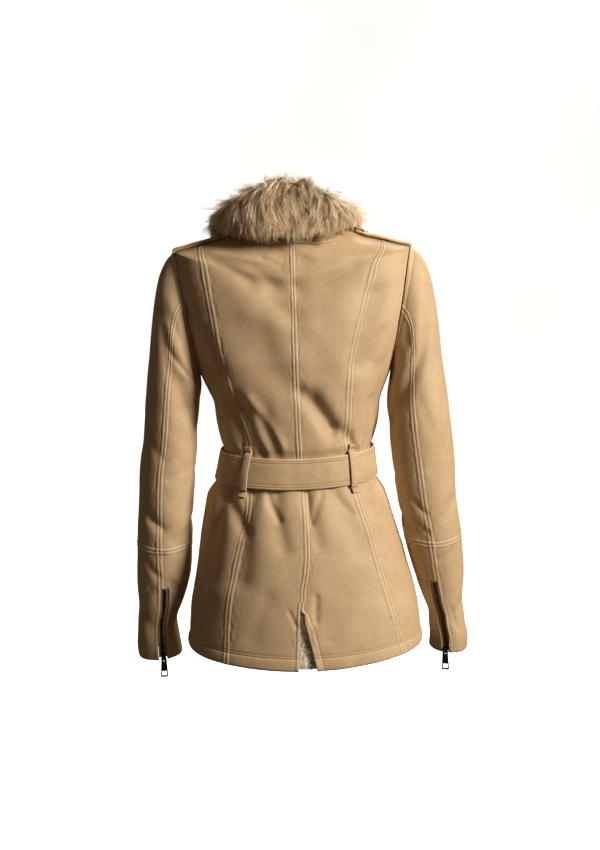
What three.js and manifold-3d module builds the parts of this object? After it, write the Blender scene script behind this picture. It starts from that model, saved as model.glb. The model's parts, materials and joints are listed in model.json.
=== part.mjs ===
// A women's hip-length shearling coat: hollow, filled out as if worn, zipped and belted.
// Millimetres. +Z is up, the front faces -Y and the wearer's left is +X.
// The origin is the middle of the neck opening, level with the back collar seam.
// "angle" goes round the body from the front edge (0) past the wearer's left (90) to the
// back seam (180); "up" is the distance up the side from the hem, then in along the shoulder.
import * as THREE from "three";
import Module from "manifold-3d";

const wasm = await Module();
wasm.setup();

// Cloth and seams
const HIDE = 6; // the hide with the wool on its inside
const SEAM_GAP = 0.5; // between two pieces that are sewn together
const SEAM_BAND = 5; // width of the raised band beside a seam
const BAND_RISE = 0.9;
const STITCH_GROOVE = 0.6;
const HEM_TURNING = 21; // height of the turned-up hem
const HEM_BULGE = 1.6;

// Heights on the body, as distances up
const ARMPIT_UP = 457;
const SHOULDER_UP = 655;
const NECK_UP = 774;
const PRINCESS_TOP_UP = 703; // where the back seams meet the shoulder seam
const ARMHOLE_HALF_ANGLE = 13.5; // degrees either side of the side line
const VENT_UP = 104; // top of the back vent
const VENT_SPREAD = 29; // how far its free edge swings out at the hem
const RIDGE_POWER = 1.4; // roundness of the shoulder ridge

// Zips: a tape with a chain of teeth down its middle
const CUFF_ZIP_WIDTH = 12.5;
const CUFF_ZIP_TOP = 432; // distance along the sleeve
const FRONT_ZIP_WIDTH = 12;
const FRONT_ZIP_TOP_UP = 640;
const TAPE_RECESS = 2.2;
const TAPE_THICKNESS = 2;
const CHAIN_WIDTH = 4.4;
const CHAIN_RISE = 1.5;

// Sleeve distances along from the armhole
const ELBOW_SEAM = 362;
const CUFF_END = 562;
const SLEEVE_FRONT_SEAM = 250; // degrees round the sleeve
const ARMHOLE_SEAT = 1.3; // the sleeve's edge, over the cloth of the body
const CAP_LENGTH = 60; // over which the sleeve's top is drawn to the armhole

// Belt
const BELT_LOW_UP = 289;
const BELT_HIGH_UP = 337;
const BELT_CLEARANCE = 1.7;
const BELT_THICKNESS = 4;
const LOOP_WIDTH = 10;
const LOOP_THICKNESS = 2.5;

const table = (columns, rows) =>
  rows.map((row) => Object.fromEntries(columns.split(" ").map((name, i) => [name, row[i]])));

// Half width and depths of the body, the heights of each ring at the side, back and front, how
// square it is, and how far it sways towards the wearer's left.
const TORSO = table("up half back front sideZ backZ frontZ square sway", [
  [0, 191, 131, 121, -658, -671, -668, 2.2, -5],
  [72, 184, 127.5, 116.5, -592, -602, -599, 2.2, -4.5],
  [147, 170, 121, 110, -525, -532, -529, 2.2, -2],
  [214, 155, 112, 101, -458, -464, -462, 2.2, 1.5],
  [245, 147.5, 106, 97, -427, -433, -430, 2.2, 3],
  [264, 142, 100, 93, -408, -414, -411, 2.25, 4],
  [289, 126, 89, 86, -383, -389, -386, 2.3, 3],
  [312, 120, 85, 84, -360, -366, -363, 2.3, 1],
  [337, 117.5, 83, 84, -335, -341, -337, 2.3, 0],
  [349, 122, 88, 89, -323, -327, -324, 2.3, -0.5],
  [380, 129, 92, 97, -292, -294, -293, 2.3, -1.5],
  [410, 132, 96, 105, -262, -263, -263, 2.3, -1.5],
  [430, 139, 99, 111, -242, -243, -244, 2.35, -0.8],
  [457, 150, 102, 116, -215, -217, -219, 2.4, 0],
  [500, 160, 105, 118, -172, -184, -192, 2.4, 0],
  [560, 174, 104, 110, -112, -140, -158, 2.4, 0],
  [610, 181, 98, 98, -63, -105, -131, 2.4, 0],
  [655, 184, 88, 85, -20, -72, -108, 2.3, 0],
  [672, 168, 85.5, 82, -16, -61, -101, 2.3, 0],
  [720, 121, 75, 75, -4, -31, -82, 2.2, 0],
  [774, 68, 60, 66, 10, -2, -60, 2, 0],
]);

// The back seams between centre and side panels, as distances from the middle.
const PRINCESS = table("up left right", [
  [0, 122, 162],
  [80, 117, 144],
  [150, 107, 126],
  [214, 92, 110],
  [270, 80, 92],
  [337, 77, 80],
  [420, 97, 82],
  [500, 117, 91],
  [580, 128, 109],
  [640, 136, 125],
  [664, 139, 133],
  [684, 141.5, 140],
  [694, 141.8, 141.8],
  [699, 140.3, 140.3],
  [703, 137.5, 137.5],
]);

// The seam down the middle of the back, which wanders a little towards the wearer's right.
const BACK_SEAM = table("up off", [
  [0, 7],
  [100, 2],
  [195, -11],
  [280, -10],
  [337, -3],
  [500, 0],
  [774, 0],
]);

// Soft troughs in the cloth, from one place to another. Negative depths are ridges.
const FOLDS = table("angle up toAngle toUp depth width", [
  [112, 470, 133, 352, 6, 17],
  [124, 440, 140, 366, -3.5, 13],
  [150, 395, 158, 346, 5, 15],
  [131, 560, 158, 470, 3.5, 26],
  [139, 690, 172, 640, 4, 15],
  [151, 660, 176, 590, 3.5, 20],
  [196, 425, 214, 372, 6, 16],
  [224, 372, 232, 346, 4, 10],
  [239, 600, 228, 480, 6, 17],
  [246, 470, 262, 360, 4, 16],
  [186, 600, 222, 640, 3, 24],
  [160, 280, 168, 205, 5, 15],
  [140, 284, 137, 150, 6, 18],
  [190, 284, 196, 205, 3.5, 13],
  [214, 284, 226, 190, 3, 16],
  [120, 282, 112, 150, 4, 16],
  [64, 470, 38, 420, 5, 20],
  [48, 352, 40, 420, 4.5, 14],
  [25, 350, 30, 400, 3.5, 13],
  [30, 284, 34, 190, 4.5, 16],
  [62, 284, 66, 160, 5, 17],
  [296, 470, 322, 420, 5, 20],
  [312, 352, 320, 425, 4.5, 14],
  [336, 350, 330, 405, 3.5, 13],
  [330, 284, 325, 180, 4.5, 16],
  [297, 284, 293, 150, 5, 17],
]);
const FOLD_RADIUS = 125; // turns an angle into a distance round the body

// The sleeve's inner and outer lines, its middle and its half depth, by distance along.
const SLEEVE = table("along innerX innerZ outerX outerZ middleY depth", [
  [0, 151.5, -216, 185, -18, 0, 41],
  [12, 151, -221, 199, -33, 0, 47],
  [28, 150.5, -226, 211, -58, 0, 51],
  [50, 150.2, -232, 220, -100, 1, 54],
  [76, 150.2, -240, 227, -148, 2, 55],
  [106, 150.8, -254, 234, -198, 3, 55],
  [140, 152, -278, 241, -250, 4, 54],
  [190, 155.5, -325, 247, -308, 5, 52],
  [243, 160.5, -375, 254, -364, 5, 50],
  [300, 167.5, -430, 259, -423, 3, 48],
  [362, 175, -490, 264.5, -488, -3, 46],
  [420, 186, -547, 267.5, -548, -13, 43],
  [467, 198, -592, 267, -596, -22, 41],
  [504, 208, -628, 268.5, -633, -29, 40],
  [540, 207.5, -664, 272, -668, -34, 42],
  [562, 209, -686, 270.5, -690, -37, 41],
]);

// How far each sleeve's inner and outer lines lie further out than that.
const SLEEVE_LEAN = table("along leftIn leftOut rightIn rightOut", [
  [0, 0, 0, 0, 0],
  [28, 0, 0, 0, 3],
  [76, 1, 0, -2, 2],
  [106, 3, 0, -5, 0],
  [140, 4.5, -1, -6.5, 0],
  [190, 5, -2, -7, 0],
  [243, 5, 0, -7, -2],
  [300, 3.5, 0, -7, -4.5],
  [362, 0, 0, -5, -1.5],
  [420, -4.5, 1, -1, 0],
  [467, -3, 3, 1, 0],
  [504, 0, 4, 3, 1],
  [540, -4, 4, 5, 4],
  [562, -8, 4, 2, 4.5],
]);

// The seam down the back of each sleeve, in degrees round it.
const SLEEVE_SEAM = table("along left right", [
  [0, 77, 87],
  [140, 83, 105],
  [243, 80, 103],
  [362, 83, 99],
  [420, 88, 102],
  [504, 97, 101],
  [562, 91, 92],
]);

// Sleeve creases, in degrees round it and distance along.
const SLEEVE_FOLDS = table("angle along toAngle toAlong depth width", [
  [60, 60, 120, 130, 4, 14],
  [110, 90, 170, 165, 4.5, 14],
  [40, 300, 95, 330, 3, 11],
  [120, 350, 185, 320, 3.5, 12],
  [300, 330, 250, 372, 4.5, 12],
  [290, 390, 230, 372, 4.5, 12],
  [20, 470, 80, 500, 3, 13],
  [250, 480, 330, 500, 3, 12],
]);
const SLEEVE_FOLD_RADIUS = 45;

// The fur collar, all round: the height of its roll, how far the fur stands out and at what
// height, the height its tips fall to, and how far down the body its lower edge lies.
const COLLAR = table("angle top reach bulgeZ tipsZ edgeUp", [
  [9, -26, 44, -62, -104, 668],
  [30, -4, 52, -48, -86, 655],
  [60, 30, 64, -12, -42, 676],
  [76, 44, 74, 8, -12, 712],
  [90, 54, 62, 30, 13, 752],
  [120, 72, 54, 32, 5, 752],
  [150, 88, 48, 30, 3, 756],
  [172, 98, 44, 30, 1, 764],
  [184, 88, 44, 30, 1, 764],
  [194, 93, 45, 28, 1, 762],
  [214, 74, 47, 28, 2, 752],
  [240, 58, 50, 28, 5, 748],
  [270, 44, 54, 26, 13, 742],
  [284, 36, 60, 4, -14, 712],
  [300, 22, 60, -16, -42, 676],
  [330, -10, 52, -50, -86, 655],
  [351, -26, 44, -62, -104, 668],
]);
const COLLAR_SEGMENTS = 44;
const COLLAR_LIFT = 9; // clear of the shoulder straps that it covers
const COLLAR_CLUMPS = 19; // broad locks of fur round the collar
const CLUMP_RISE = 3;

const radians = THREE.MathUtils.degToRad;
const lerp = THREE.MathUtils.lerp;
const clamp = THREE.MathUtils.clamp;
const spread = (count) => Array.from({ length: count + 1 }, (_, i) => i / count);

// A smooth curve through a table's column that never overshoots its rows.
function curve(rows, x, y) {
  const xs = rows.map((row) => row[x]);
  const ys = rows.map((row) => row[y]);
  const last = xs.length - 1;
  const steps = xs.slice(1).map((value, i) => (ys[i + 1] - ys[i]) / (value - xs[i]));
  const slopes = xs.map((_, i) => {
    if (i === 0 || i === last) return steps[Math.min(i, last - 1)];
    const product = steps[i - 1] * steps[i];
    return product <= 0 ? 0 : (2 * product) / (steps[i - 1] + steps[i]);
  });
  return (at) => {
    let i = 0;
    while (i < last - 1 && at >= xs[i + 1]) i++;
    const width = xs[i + 1] - xs[i];
    const t = (at - xs[i]) / width;
    const blend = t * t * (3 - 2 * t);
    const bend = t * (1 - t) * width;
    return lerp(ys[i], ys[i + 1], blend) + bend * ((1 - t) * slopes[i] - t * slopes[i + 1]);
  };
}

const curvesOf = (rows, x) =>
  Object.fromEntries(
    Object.keys(rows[0])
      .filter((name) => name !== x)
      .map((name) => [name, curve(rows, x, name)]),
  );

const torso = curvesOf(TORSO, "up");
const princess = curvesOf(PRINCESS, "up");
const backSeam = curvesOf(BACK_SEAM, "up");
const sleeve = curvesOf(SLEEVE, "along");
const sleeveLean = curvesOf(SLEEVE_LEAN, "along");
const sleeveSeam = curvesOf(SLEEVE_SEAM, "along");
const collar = curvesOf(COLLAR, "angle");

// How deep the folds press the cloth in at a place, with both coordinates as distances.
function pressed(folds, x, y) {
  let sum = 0;
  for (const fold of folds) {
    const dx = fold.toX - fold.x;
    const dy = fold.toY - fold.y;
    const along = clamp(((x - fold.x) * dx + (y - fold.y) * dy) / (dx * dx + dy * dy), 0, 1);
    const distance = Math.hypot(x - fold.x - along * dx, y - fold.y - along * dy);
    sum += fold.depth * Math.exp(-((distance / fold.width) ** 2));
  }
  return sum;
}

const bodyFolds = FOLDS.map((fold) => ({
  x: radians(fold.angle) * FOLD_RADIUS,
  y: fold.up,
  toX: radians(fold.toAngle) * FOLD_RADIUS,
  toY: fold.toUp,
  depth: fold.depth,
  width: fold.width,
}));
const armFolds = SLEEVE_FOLDS.map((fold) => ({
  x: radians(fold.angle) * SLEEVE_FOLD_RADIUS,
  y: fold.along,
  toX: radians(fold.toAngle) * SLEEVE_FOLD_RADIUS,
  toY: fold.toAlong,
  depth: fold.depth,
  width: fold.width,
}));

// Body surface

function bodyPoint(angle, up) {
  const sin = Math.sin(radians(angle));
  const cos = Math.cos(radians(angle));
  const depth = cos > 0 ? torso.front(up) : torso.back(up);
  const endZ = cos > 0 ? torso.frontZ(up) : torso.backZ(up);
  const square = torso.square(up);
  const sum = Math.abs(sin / torso.half(up)) ** square + Math.abs(cos / depth) ** square;
  const radius = sum ** (-1 / square);
  const sideZ = torso.sideZ(up);
  const z = sideZ + (endZ - sideZ) * Math.abs(cos) ** RIDGE_POWER;
  return new THREE.Vector3(radius * sin + torso.sway(up), -radius * cos, z);
}

// The direction out of a surface given by a function of two numbers.
function outOf(surface, u, v, du, dv) {
  const across = surface(u + du, v).sub(surface(u - du, v));
  const along = surface(u, v + dv).sub(surface(u, v - dv));
  return across.cross(along).normalize();
}

const bodyOut = (angle, up) =>
  outOf(bodyPoint, angle, clamp(up, 2, NECK_UP - 2), 1, 2);

const bodyFold = (angle, up) => pressed(bodyFolds, radians(angle) * FOLD_RADIUS, up);

// A point on the coat's body, moved out of the cloth by some distance.
function onBody(angle, up, out) {
  const fade = clamp((SHOULDER_UP + 40 - up) / 60, 0, 1);
  const distance = out - bodyFold(angle, up) * fade;
  return bodyPoint(angle, up).addScaledVector(bodyOut(angle, up), distance);
}

// The angle at which the body ring at a height is some distance off the middle of the back.
function backAngle(off, up) {
  let low = off >= 0 ? 90 : 180;
  let high = off >= 0 ? 180 : 270;
  for (let i = 0; i < 40; i++) {
    const middle = (low + high) / 2;
    if (bodyPoint(middle, up).x > off) low = middle;
    else high = middle;
  }
  return (low + high) / 2;
}

// Closed walls

function geometryOf(points, triangles) {
  const geometry = new THREE.BufferGeometry().setFromPoints(points);
  let volume = 0;
  for (let i = 0; i < triangles.length; i += 3) {
    const [a, b, c] = [0, 1, 2].map((k) => points[triangles[i + k]]);
    volume += a.dot(new THREE.Vector3().crossVectors(b, c));
  }
  if (volume < 0) {
    for (let i = 0; i < triangles.length; i += 3)
      [triangles[i + 1], triangles[i + 2]] = [triangles[i + 2], triangles[i + 1]];
  }
  return geometry.setIndex(triangles);
}

// Fills the strip between two lines of points that start and end side by side, by the
// shorter diagonal each time.
function zipLines(points, outerLine, innerLine, triangles) {
  let i = 0;
  let j = 0;
  const apart = (a, b) => (a === undefined || b === undefined ? Infinity : points[a].distanceTo(points[b]));
  while (i < outerLine.length - 1 || j < innerLine.length - 1) {
    const byOuter = apart(outerLine[i + 1], innerLine[j]);
    const byInner = apart(outerLine[i], innerLine[j + 1]);
    if (byOuter <= byInner) {
      triangles.push(outerLine[i + 1], outerLine[i], innerLine[j]);
      i++;
    } else {
      triangles.push(outerLine[i], innerLine[j], innerLine[j + 1]);
      j++;
    }
  }
}

// A wall between an outer and an inner grid of points, which may be of different fineness.
function wall(outer, inner) {
  const points = [...outer.flat(), ...inner.flat()];
  const outerAt = (i, j) => i * outer[0].length + j;
  const innerAt = (i, j) => outer.flat().length + i * inner[0].length + j;
  const triangles = [];
  const face = (at, rows, columns, turned) => {
    for (let i = 0; i < rows - 1; i++)
      for (let j = 0; j < columns - 1; j++) {
        const corners = [at(i, j), at(i, j + 1), at(i + 1, j + 1), at(i + 1, j)];
        if (turned) corners.reverse();
        const [a, b, c, d] = corners;
        const shorter = points[a].distanceTo(points[c]) <= points[b].distanceTo(points[d]);
        triangles.push(...(shorter ? [a, b, c, a, c, d] : [a, b, d, b, c, d]));
      }
  };
  face(outerAt, outer.length, outer[0].length, false);
  face(innerAt, inner.length, inner[0].length, true);
  const edges = (grid, at) => {
    const rows = [...grid.keys()];
    const columns = [...grid[0].keys()];
    const top = grid.length - 1;
    const side = grid[0].length - 1;
    return [
      columns.map((j) => at(0, j)),
      rows.map((i) => at(i, side)),
      columns.map((j) => at(top, j)).reverse(),
      rows.map((i) => at(i, 0)).reverse(),
    ];
  };
  const outerEdges = edges(outer, outerAt);
  const innerEdges = edges(inner, innerAt);
  outerEdges.forEach((line, side) => zipLines(points, line, innerEdges[side], triangles));
  return geometryOf(points, triangles);
}

// A closed tube of equal sections, capped at both ends.
function loft(sections) {
  const points = sections.flat();
  const count = sections[0].length;
  const at = (i, j) => i * count + (j % count);
  const triangles = [];
  for (let i = 0; i < sections.length - 1; i++)
    for (let j = 0; j < count; j++)
      triangles.push(at(i, j), at(i, j + 1), at(i + 1, j + 1), at(i, j), at(i + 1, j + 1), at(i + 1, j));
  [0, sections.length - 1].forEach((end) => {
    const centre = points.length;
    const sum = sections[end].reduce((total, point) => total.add(point), new THREE.Vector3());
    points.push(sum.divideScalar(count));
    for (let j = 0; j < count; j++)
      if (end) triangles.push(centre, at(end, j), at(end, j + 1));
      else triangles.push(centre, at(end, j + 1), at(end, j));
  });
  return geometryOf(points, triangles);
}

// Relief of the cloth beside a seam: a raised band and then the groove of its stitching.
function seamRelief(distance) {
  if (distance <= SEAM_BAND) return BAND_RISE;
  if (distance <= SEAM_BAND + 1.3) {
    return lerp(BAND_RISE, -STITCH_GROOVE, (distance - SEAM_BAND) / 1.3);
  }
  return lerp(-STITCH_GROOVE, 0, clamp((distance - SEAM_BAND - 1.3) / 2.7, 0, 1));
}
const BAND_EDGES = [0, SEAM_BAND, SEAM_BAND + 1.3, SEAM_BAND + 4];

// Relief of the turned-up hem, and of its rounded lower edge.
function hemRelief(height) {
  const bulge = HEM_BULGE * clamp((HEM_TURNING - height) / 2, 0, 1);
  const groove = STITCH_GROOVE * clamp(1 - Math.abs(height - HEM_TURNING - 1) / 2, 0, 1);
  const rounding = 3.4 * clamp(1 - height / 4, 0, 1) ** 2;
  return bulge - groove - rounding;
}

// Shares of a row of the given width: the seam bands at both ends, and even steps between.
function columnsAcross(width, steps, bandAtStart, bandAtEnd) {
  const scale = Math.min(1, width / (2.6 * BAND_EDGES.at(-1)));
  const gap = SEAM_GAP / 2;
  const edgeLines = BAND_EDGES.map((edge) => Math.max(gap, edge * scale));
  const start = bandAtStart ? edgeLines : [gap];
  const end = (bandAtEnd ? edgeLines : [gap]).map((edge) => width - edge).reverse();
  const inner = spread(steps).slice(1, -1);
  const between = inner.map((share) => lerp(start.at(-1), end[0], share));
  return [...start, ...between, ...end].map((distance) => distance / width);
}

// One cloth panel, ruled between two edges that give [u, v] for each row.
// place(u, v, out) is a point of the cloth's surface moved out by a distance.
function clothPanel({ place, rows, start, end, steps, bands = [true, true], relief = () => 0 }) {
  const across = (row, share) => {
    const [from, to] = [start(row), end(row)];
    return [lerp(from[0], to[0], share), lerp(from[1], to[1], share)];
  };
  const widthOf = (row) => {
    const line = spread(8).map((share) => place(...across(row, share), 0));
    return line.slice(1).reduce((sum, point, i) => sum + point.distanceTo(line[i]), 0);
  };
  const outer = rows.map((row) => {
    const width = widthOf(row);
    const scale = Math.min(1, width / (2.6 * BAND_EDGES.at(-1)));
    return columnsAcross(width, steps, ...bands).map((share) => {
      const [u, v] = across(row, share);
      const fromStart = bands[0] ? (share * width) / scale : Infinity;
      const fromEnd = bands[1] ? ((1 - share) * width) / scale : Infinity;
      return place(u, v, seamRelief(Math.min(fromStart, fromEnd)) + relief(v));
    });
  });
  const inner = rows.map((row) =>
    columnsAcross(widthOf(row), Math.ceil(steps / 2) + 1, false, false).map((share) =>
      place(...across(row, share), -HIDE),
    ),
  );
  return wall(outer, inner);
}

// Body panels

const LOW_ROWS = [
  0, 4, HEM_TURNING - 2, HEM_TURNING + 1, HEM_TURNING + 4, 62, VENT_UP, 145, 185, 220, 248,
  268, BELT_LOW_UP, 312, BELT_HIGH_UP, 350, 372, 400, 430, ARMPIT_UP,
];

// Rows above the armpit count on from ARMPIT_UP by the share of the way to the top.
const TOP_SCALE = 1000;
const sideAngle = (side) => (side === "left" ? 90 : 270);
const towards = (side) => (side === "left" ? 1 : -1);
const ARMHOLE_SHARE = 0.7; // where a panel that goes on to the neck passes the shoulder
const upperRow = (share) => ARMPIT_UP + share * TOP_SCALE;
const upperShare = (row) => (row - ARMPIT_UP) / TOP_SCALE;
const SHOULDER_SHARES = [0.1, 0.2, 0.3, 0.4, 0.5, 0.58, 0.64, 0.67, 0.687, ARMHOLE_SHARE];
const NECK_ROWS = [...LOW_ROWS, ...[...SHOULDER_SHARES, 0.8, 0.9, 1].map(upperRow)];
const SHOULDER_ROWS = [
  ...LOW_ROWS,
  ...SHOULDER_SHARES.map((share) => upperRow(share / ARMHOLE_SHARE)),
];

// The side seam and, above it, the armhole's edge, which bows towards the front or back.
function sideEdge(row, bow, share = upperShare(row)) {
  if (row <= ARMPIT_UP) return [90, row];
  const turn = Math.PI * Math.min(share, 1);
  const middle = (ARMPIT_UP + SHOULDER_UP) / 2;
  const up = middle - ((SHOULDER_UP - ARMPIT_UP) / 2) * Math.cos(turn);
  return [90 + bow * ARMHOLE_HALF_ANGLE * Math.sin(turn), up];
}

function princessEdge(side, row, share = upperShare(row)) {
  const up = row <= ARMPIT_UP ? row : lerp(ARMPIT_UP, PRINCESS_TOP_UP, Math.min(share, 1));
  const off = Math.min(princess[side](up), torso.half(up));
  return [up >= PRINCESS_TOP_UP ? sideAngle(side) : backAngle(off * towards(side), up), up];
}

// An edge of the wearer's left side, turned to the right.
const mirrored = (edge) => (row) => {
  const [angle, up] = edge(row);
  return [360 - angle, up];
};

function centreBackEdge(side, row) {
  const up = row <= ARMPIT_UP ? row : lerp(ARMPIT_UP, NECK_UP, upperShare(row));
  const vent = side === "right" ? VENT_SPREAD * clamp(1 - up / VENT_UP, 0, 1) ** 0.9 : 0;
  return [backAngle(backSeam.off(up) - vent, up), up];
}

function backCentre(side) {
  const seam = (row) => {
    const share = upperShare(row);
    if (share <= ARMHOLE_SHARE) return princessEdge(side, row, share / ARMHOLE_SHARE);
    const rest = (share - ARMHOLE_SHARE) / (1 - ARMHOLE_SHARE);
    return [sideAngle(side), lerp(PRINCESS_TOP_UP, NECK_UP, rest)];
  };
  const middle = (row) => centreBackEdge(side, row);
  const onLeft = side === "left";
  return clothPanel({
    place: onBody,
    rows: NECK_ROWS,
    start: onLeft ? seam : middle,
    end: onLeft ? middle : seam,
    steps: 5,
    relief: hemRelief,
  });
}

function backSide(side) {
  const onLeft = side === "left";
  const clearOfFront = (edge) => (row) => {
    const [angle, up] = edge(row);
    const turn = upperShare(row) > 1 - 1e-9 ? 0.12 * towards(side) : 0;
    return [angle + turn, up];
  };
  const leftArmhole = (row) => sideEdge(row, 1);
  const armhole = clearOfFront(onLeft ? leftArmhole : mirrored(leftArmhole));
  const seam = clearOfFront((row) => princessEdge(side, row));
  return clothPanel({
    place: onBody,
    rows: SHOULDER_ROWS,
    start: onLeft ? armhole : seam,
    end: onLeft ? seam : armhole,
    steps: 4,
    relief: hemRelief,
  });
}

function frontPanel(side) {
  const outerEdge = (row) => {
    const share = upperShare(row);
    if (share <= ARMHOLE_SHARE) return sideEdge(row, -1, share / ARMHOLE_SHARE);
    const rest = (share - ARMHOLE_SHARE) / (1 - ARMHOLE_SHARE);
    return [90, lerp(SHOULDER_UP, NECK_UP, rest)];
  };
  const zipEdge = (row) => {
    const up = row <= ARMPIT_UP ? row : lerp(ARMPIT_UP, NECK_UP, upperShare(row));
    const away = up < FRONT_ZIP_TOP_UP + 2 ? FRONT_ZIP_WIDTH / 2 : 0;
    return [THREE.MathUtils.radToDeg(away / torso.front(up)), up];
  };
  const onLeft = side === "left";
  return clothPanel({
    place: onBody,
    rows: NECK_ROWS,
    start: onLeft ? zipEdge : mirrored(outerEdge),
    end: onLeft ? outerEdge : mirrored(zipEdge),
    steps: 7,
    relief: hemRelief,
  });
}

// The wool side of the vent's underlap, which shows in the open vent.
const UNDERLAP = {
  left: 17,
  right: -34,
  low: 3,
  above: 14,
  seatLeft: 0.9, // under the left panel, which carries it
  seatRight: 2.4,
  thickness: 3,
};
function ventUnderlap() {
  const { left, right, low, above, seatLeft, seatRight, thickness } = UNDERLAP;
  const rows = spread(5).map((share) => lerp(low, VENT_UP + above, share));
  const layer = (out) =>
    rows.map((up) =>
      spread(4).map((share) => {
        const seat = lerp(seatLeft, seatRight, share);
        return onBody(backAngle(lerp(left, right, share), up), up, out - HIDE - seat);
      }),
    );
  return wall(layer(0), layer(-thickness));
}

// Sleeves

// The sleeve's own oval, before its top is drawn onto the armhole. Both sleeves are worked out
// on the wearer's left.
function sleeveOval(side, angle, along) {
  const innerX = sleeve.innerX(along) + sleeveLean[`${side}In`](along);
  const outerX = sleeve.outerX(along) + sleeveLean[`${side}Out`](along);
  const inner = new THREE.Vector3(innerX, 0, sleeve.innerZ(along));
  const outer = new THREE.Vector3(outerX, 0, sleeve.outerZ(along));
  const middle = inner.clone().add(outer).divideScalar(2);
  const reach = outer.sub(inner).divideScalar(2);
  const point = middle.addScaledVector(reach, Math.cos(radians(angle)));
  point.y = sleeve.middleY(along) + sleeve.depth(along) * Math.sin(radians(angle));
  return point;
}

// The line of the armhole that a point of the sleeve's top is sewn to.
function armholePoint(angle) {
  const middle = (ARMPIT_UP + SHOULDER_UP) / 2;
  const up = middle + ((SHOULDER_UP - ARMPIT_UP) / 2) * Math.cos(radians(angle));
  const around = 90 + ARMHOLE_HALF_ANGLE * Math.sin(radians(angle));
  return bodyPoint(around, up).addScaledVector(bodyOut(around, up), ARMHOLE_SEAT);
}

function sleevePoint(side, angle, along) {
  const drawn = clamp(1 - along / CAP_LENGTH, 0, 1) ** 2;
  const seat = armholePoint(angle).sub(sleeveOval(side, angle, 0));
  return sleeveOval(side, angle, along).addScaledVector(seat, drawn);
}

const mirrorX = (point) => new THREE.Vector3(-point.x, point.y, point.z);

// Gives a sleeve's place(angle, along, out).
const sleevePlace = (side) => (angle, along, out) => {
  const surface = (u, v) => sleevePoint(side, u, v);
  const normal = outOf(surface, angle, clamp(along, 1, CUFF_END - 1), 1, 1).negate();
  const fade = clamp(along / 40, 0, 1) * clamp((CUFF_END - along) / 60, 0, 1);
  const fold = pressed(armFolds, radians(angle) * SLEEVE_FOLD_RADIUS, along) * fade;
  const point = surface(angle, along).addScaledVector(normal, out - fold);
  return side === "left" ? point : mirrorX(point);
};

const cuffRelief = (along) => -1.8 * clamp(1 - (CUFF_END - along) / 5, 0, 1) ** 2;

const UPPER_SLEEVE_ROWS = [0.5, 10, 24, 44, 70, 100, 135, 180, 230, 285, 325, ELBOW_SEAM - 0.2];
const LOWER_SLEEVE_ROWS = [
  ELBOW_SEAM + 0.2, 398, CUFF_ZIP_TOP - 0.5, CUFF_ZIP_TOP + 0.5, 466, 500, 532, 557, CUFF_END,
];
const zipAngle = (along) =>
  THREE.MathUtils.radToDeg(CUFF_ZIP_WIDTH / ((sleeve.outerX(along) - sleeve.innerX(along)) / 2));

function sleevePiece(side, part, rows) {
  const seam = (row) => [sleeveSeam[side](row), row];
  const zipped = (row) => {
    const [angle, along] = seam(row);
    return [angle + (along > CUFF_ZIP_TOP ? zipAngle(along) : 0), along];
  };
  const inner = part === "inner";
  return clothPanel({
    place: sleevePlace(side),
    rows,
    start: inner ? zipped : (row) => [SLEEVE_FRONT_SEAM - 360, row],
    end: inner ? (row) => [SLEEVE_FRONT_SEAM, row] : seam,
    steps: inner ? 5 : 6,
    bands: inner ? [true, false] : [false, true],
    relief: cuffRelief,
  });
}

// Zips

// A tape under the cloth's surface with its chain of teeth, laid between two edges.
function zipStrip(place, rows, start, end, width) {
  const gap = SEAM_GAP;
  const shares = [gap, (width - CHAIN_WIDTH) / 2 - 0.4, (width - CHAIN_WIDTH) / 2];
  const across = [...shares, ...shares.map((distance) => width - distance).reverse()];
  const outs = [0, 0, CHAIN_RISE, CHAIN_RISE, 0, 0];
  const layer = (heights) =>
    rows.map((row) =>
      across.map((distance, i) => {
        const share = distance / width;
        const [from, to] = [start(row), end(row)];
        return place(lerp(from[0], to[0], share), lerp(from[1], to[1], share), heights[i]);
      }),
    );
  return wall(
    layer(outs.map((out) => out - TAPE_RECESS)),
    layer(outs.map(() => -TAPE_RECESS - TAPE_THICKNESS)),
  );
}

function cuffZip(side) {
  const seam = (row) => [sleeveSeam[side](row), row];
  const far = (row) => [sleeveSeam[side](row) + zipAngle(row), row];
  const rows = [CUFF_ZIP_TOP + 1.5, ...LOWER_SLEEVE_ROWS.filter((row) => row > CUFF_ZIP_TOP + 2)];
  rows.pop();
  return zipStrip(sleevePlace(side), rows, seam, far, CUFF_ZIP_WIDTH);
}

function frontZip() {
  const half = (up) => THREE.MathUtils.radToDeg(FRONT_ZIP_WIDTH / 2 / torso.front(up));
  const upper = SHOULDER_SHARES.map((share) => lerp(ARMPIT_UP, NECK_UP, share));
  const rows = [...LOW_ROWS.slice(2), ...upper].filter((up) => up < FRONT_ZIP_TOP_UP - 4);
  rows.push(FRONT_ZIP_TOP_UP - 2);
  return zipStrip(onBody, [5, ...rows], (up) => [-half(up), up], (up) => [half(up), up], FRONT_ZIP_WIDTH);
}

// The slider and its pull, in their own frame: X across the zip, -Y down it and Z out of it,
// with the origin on the pull's hinge.
const SLIDER = { width: 8.5, above: 6, below: 5, thickness: 3.2, seat: -1.7 };
const BAIL = { inside: 1.75, outside: 3, width: 2.4 };
const PULL = {
  top: 1.1,
  bar: 1,
  hole: 5.4,
  holeHalf: 2.4,
  length: 32,
  thickness: 1.8,
  neck: 4.2,
  foot: 6.1,
};
const PULL_WINDOW = { from: 22, to: 29.4, half: 4.2 };

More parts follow.
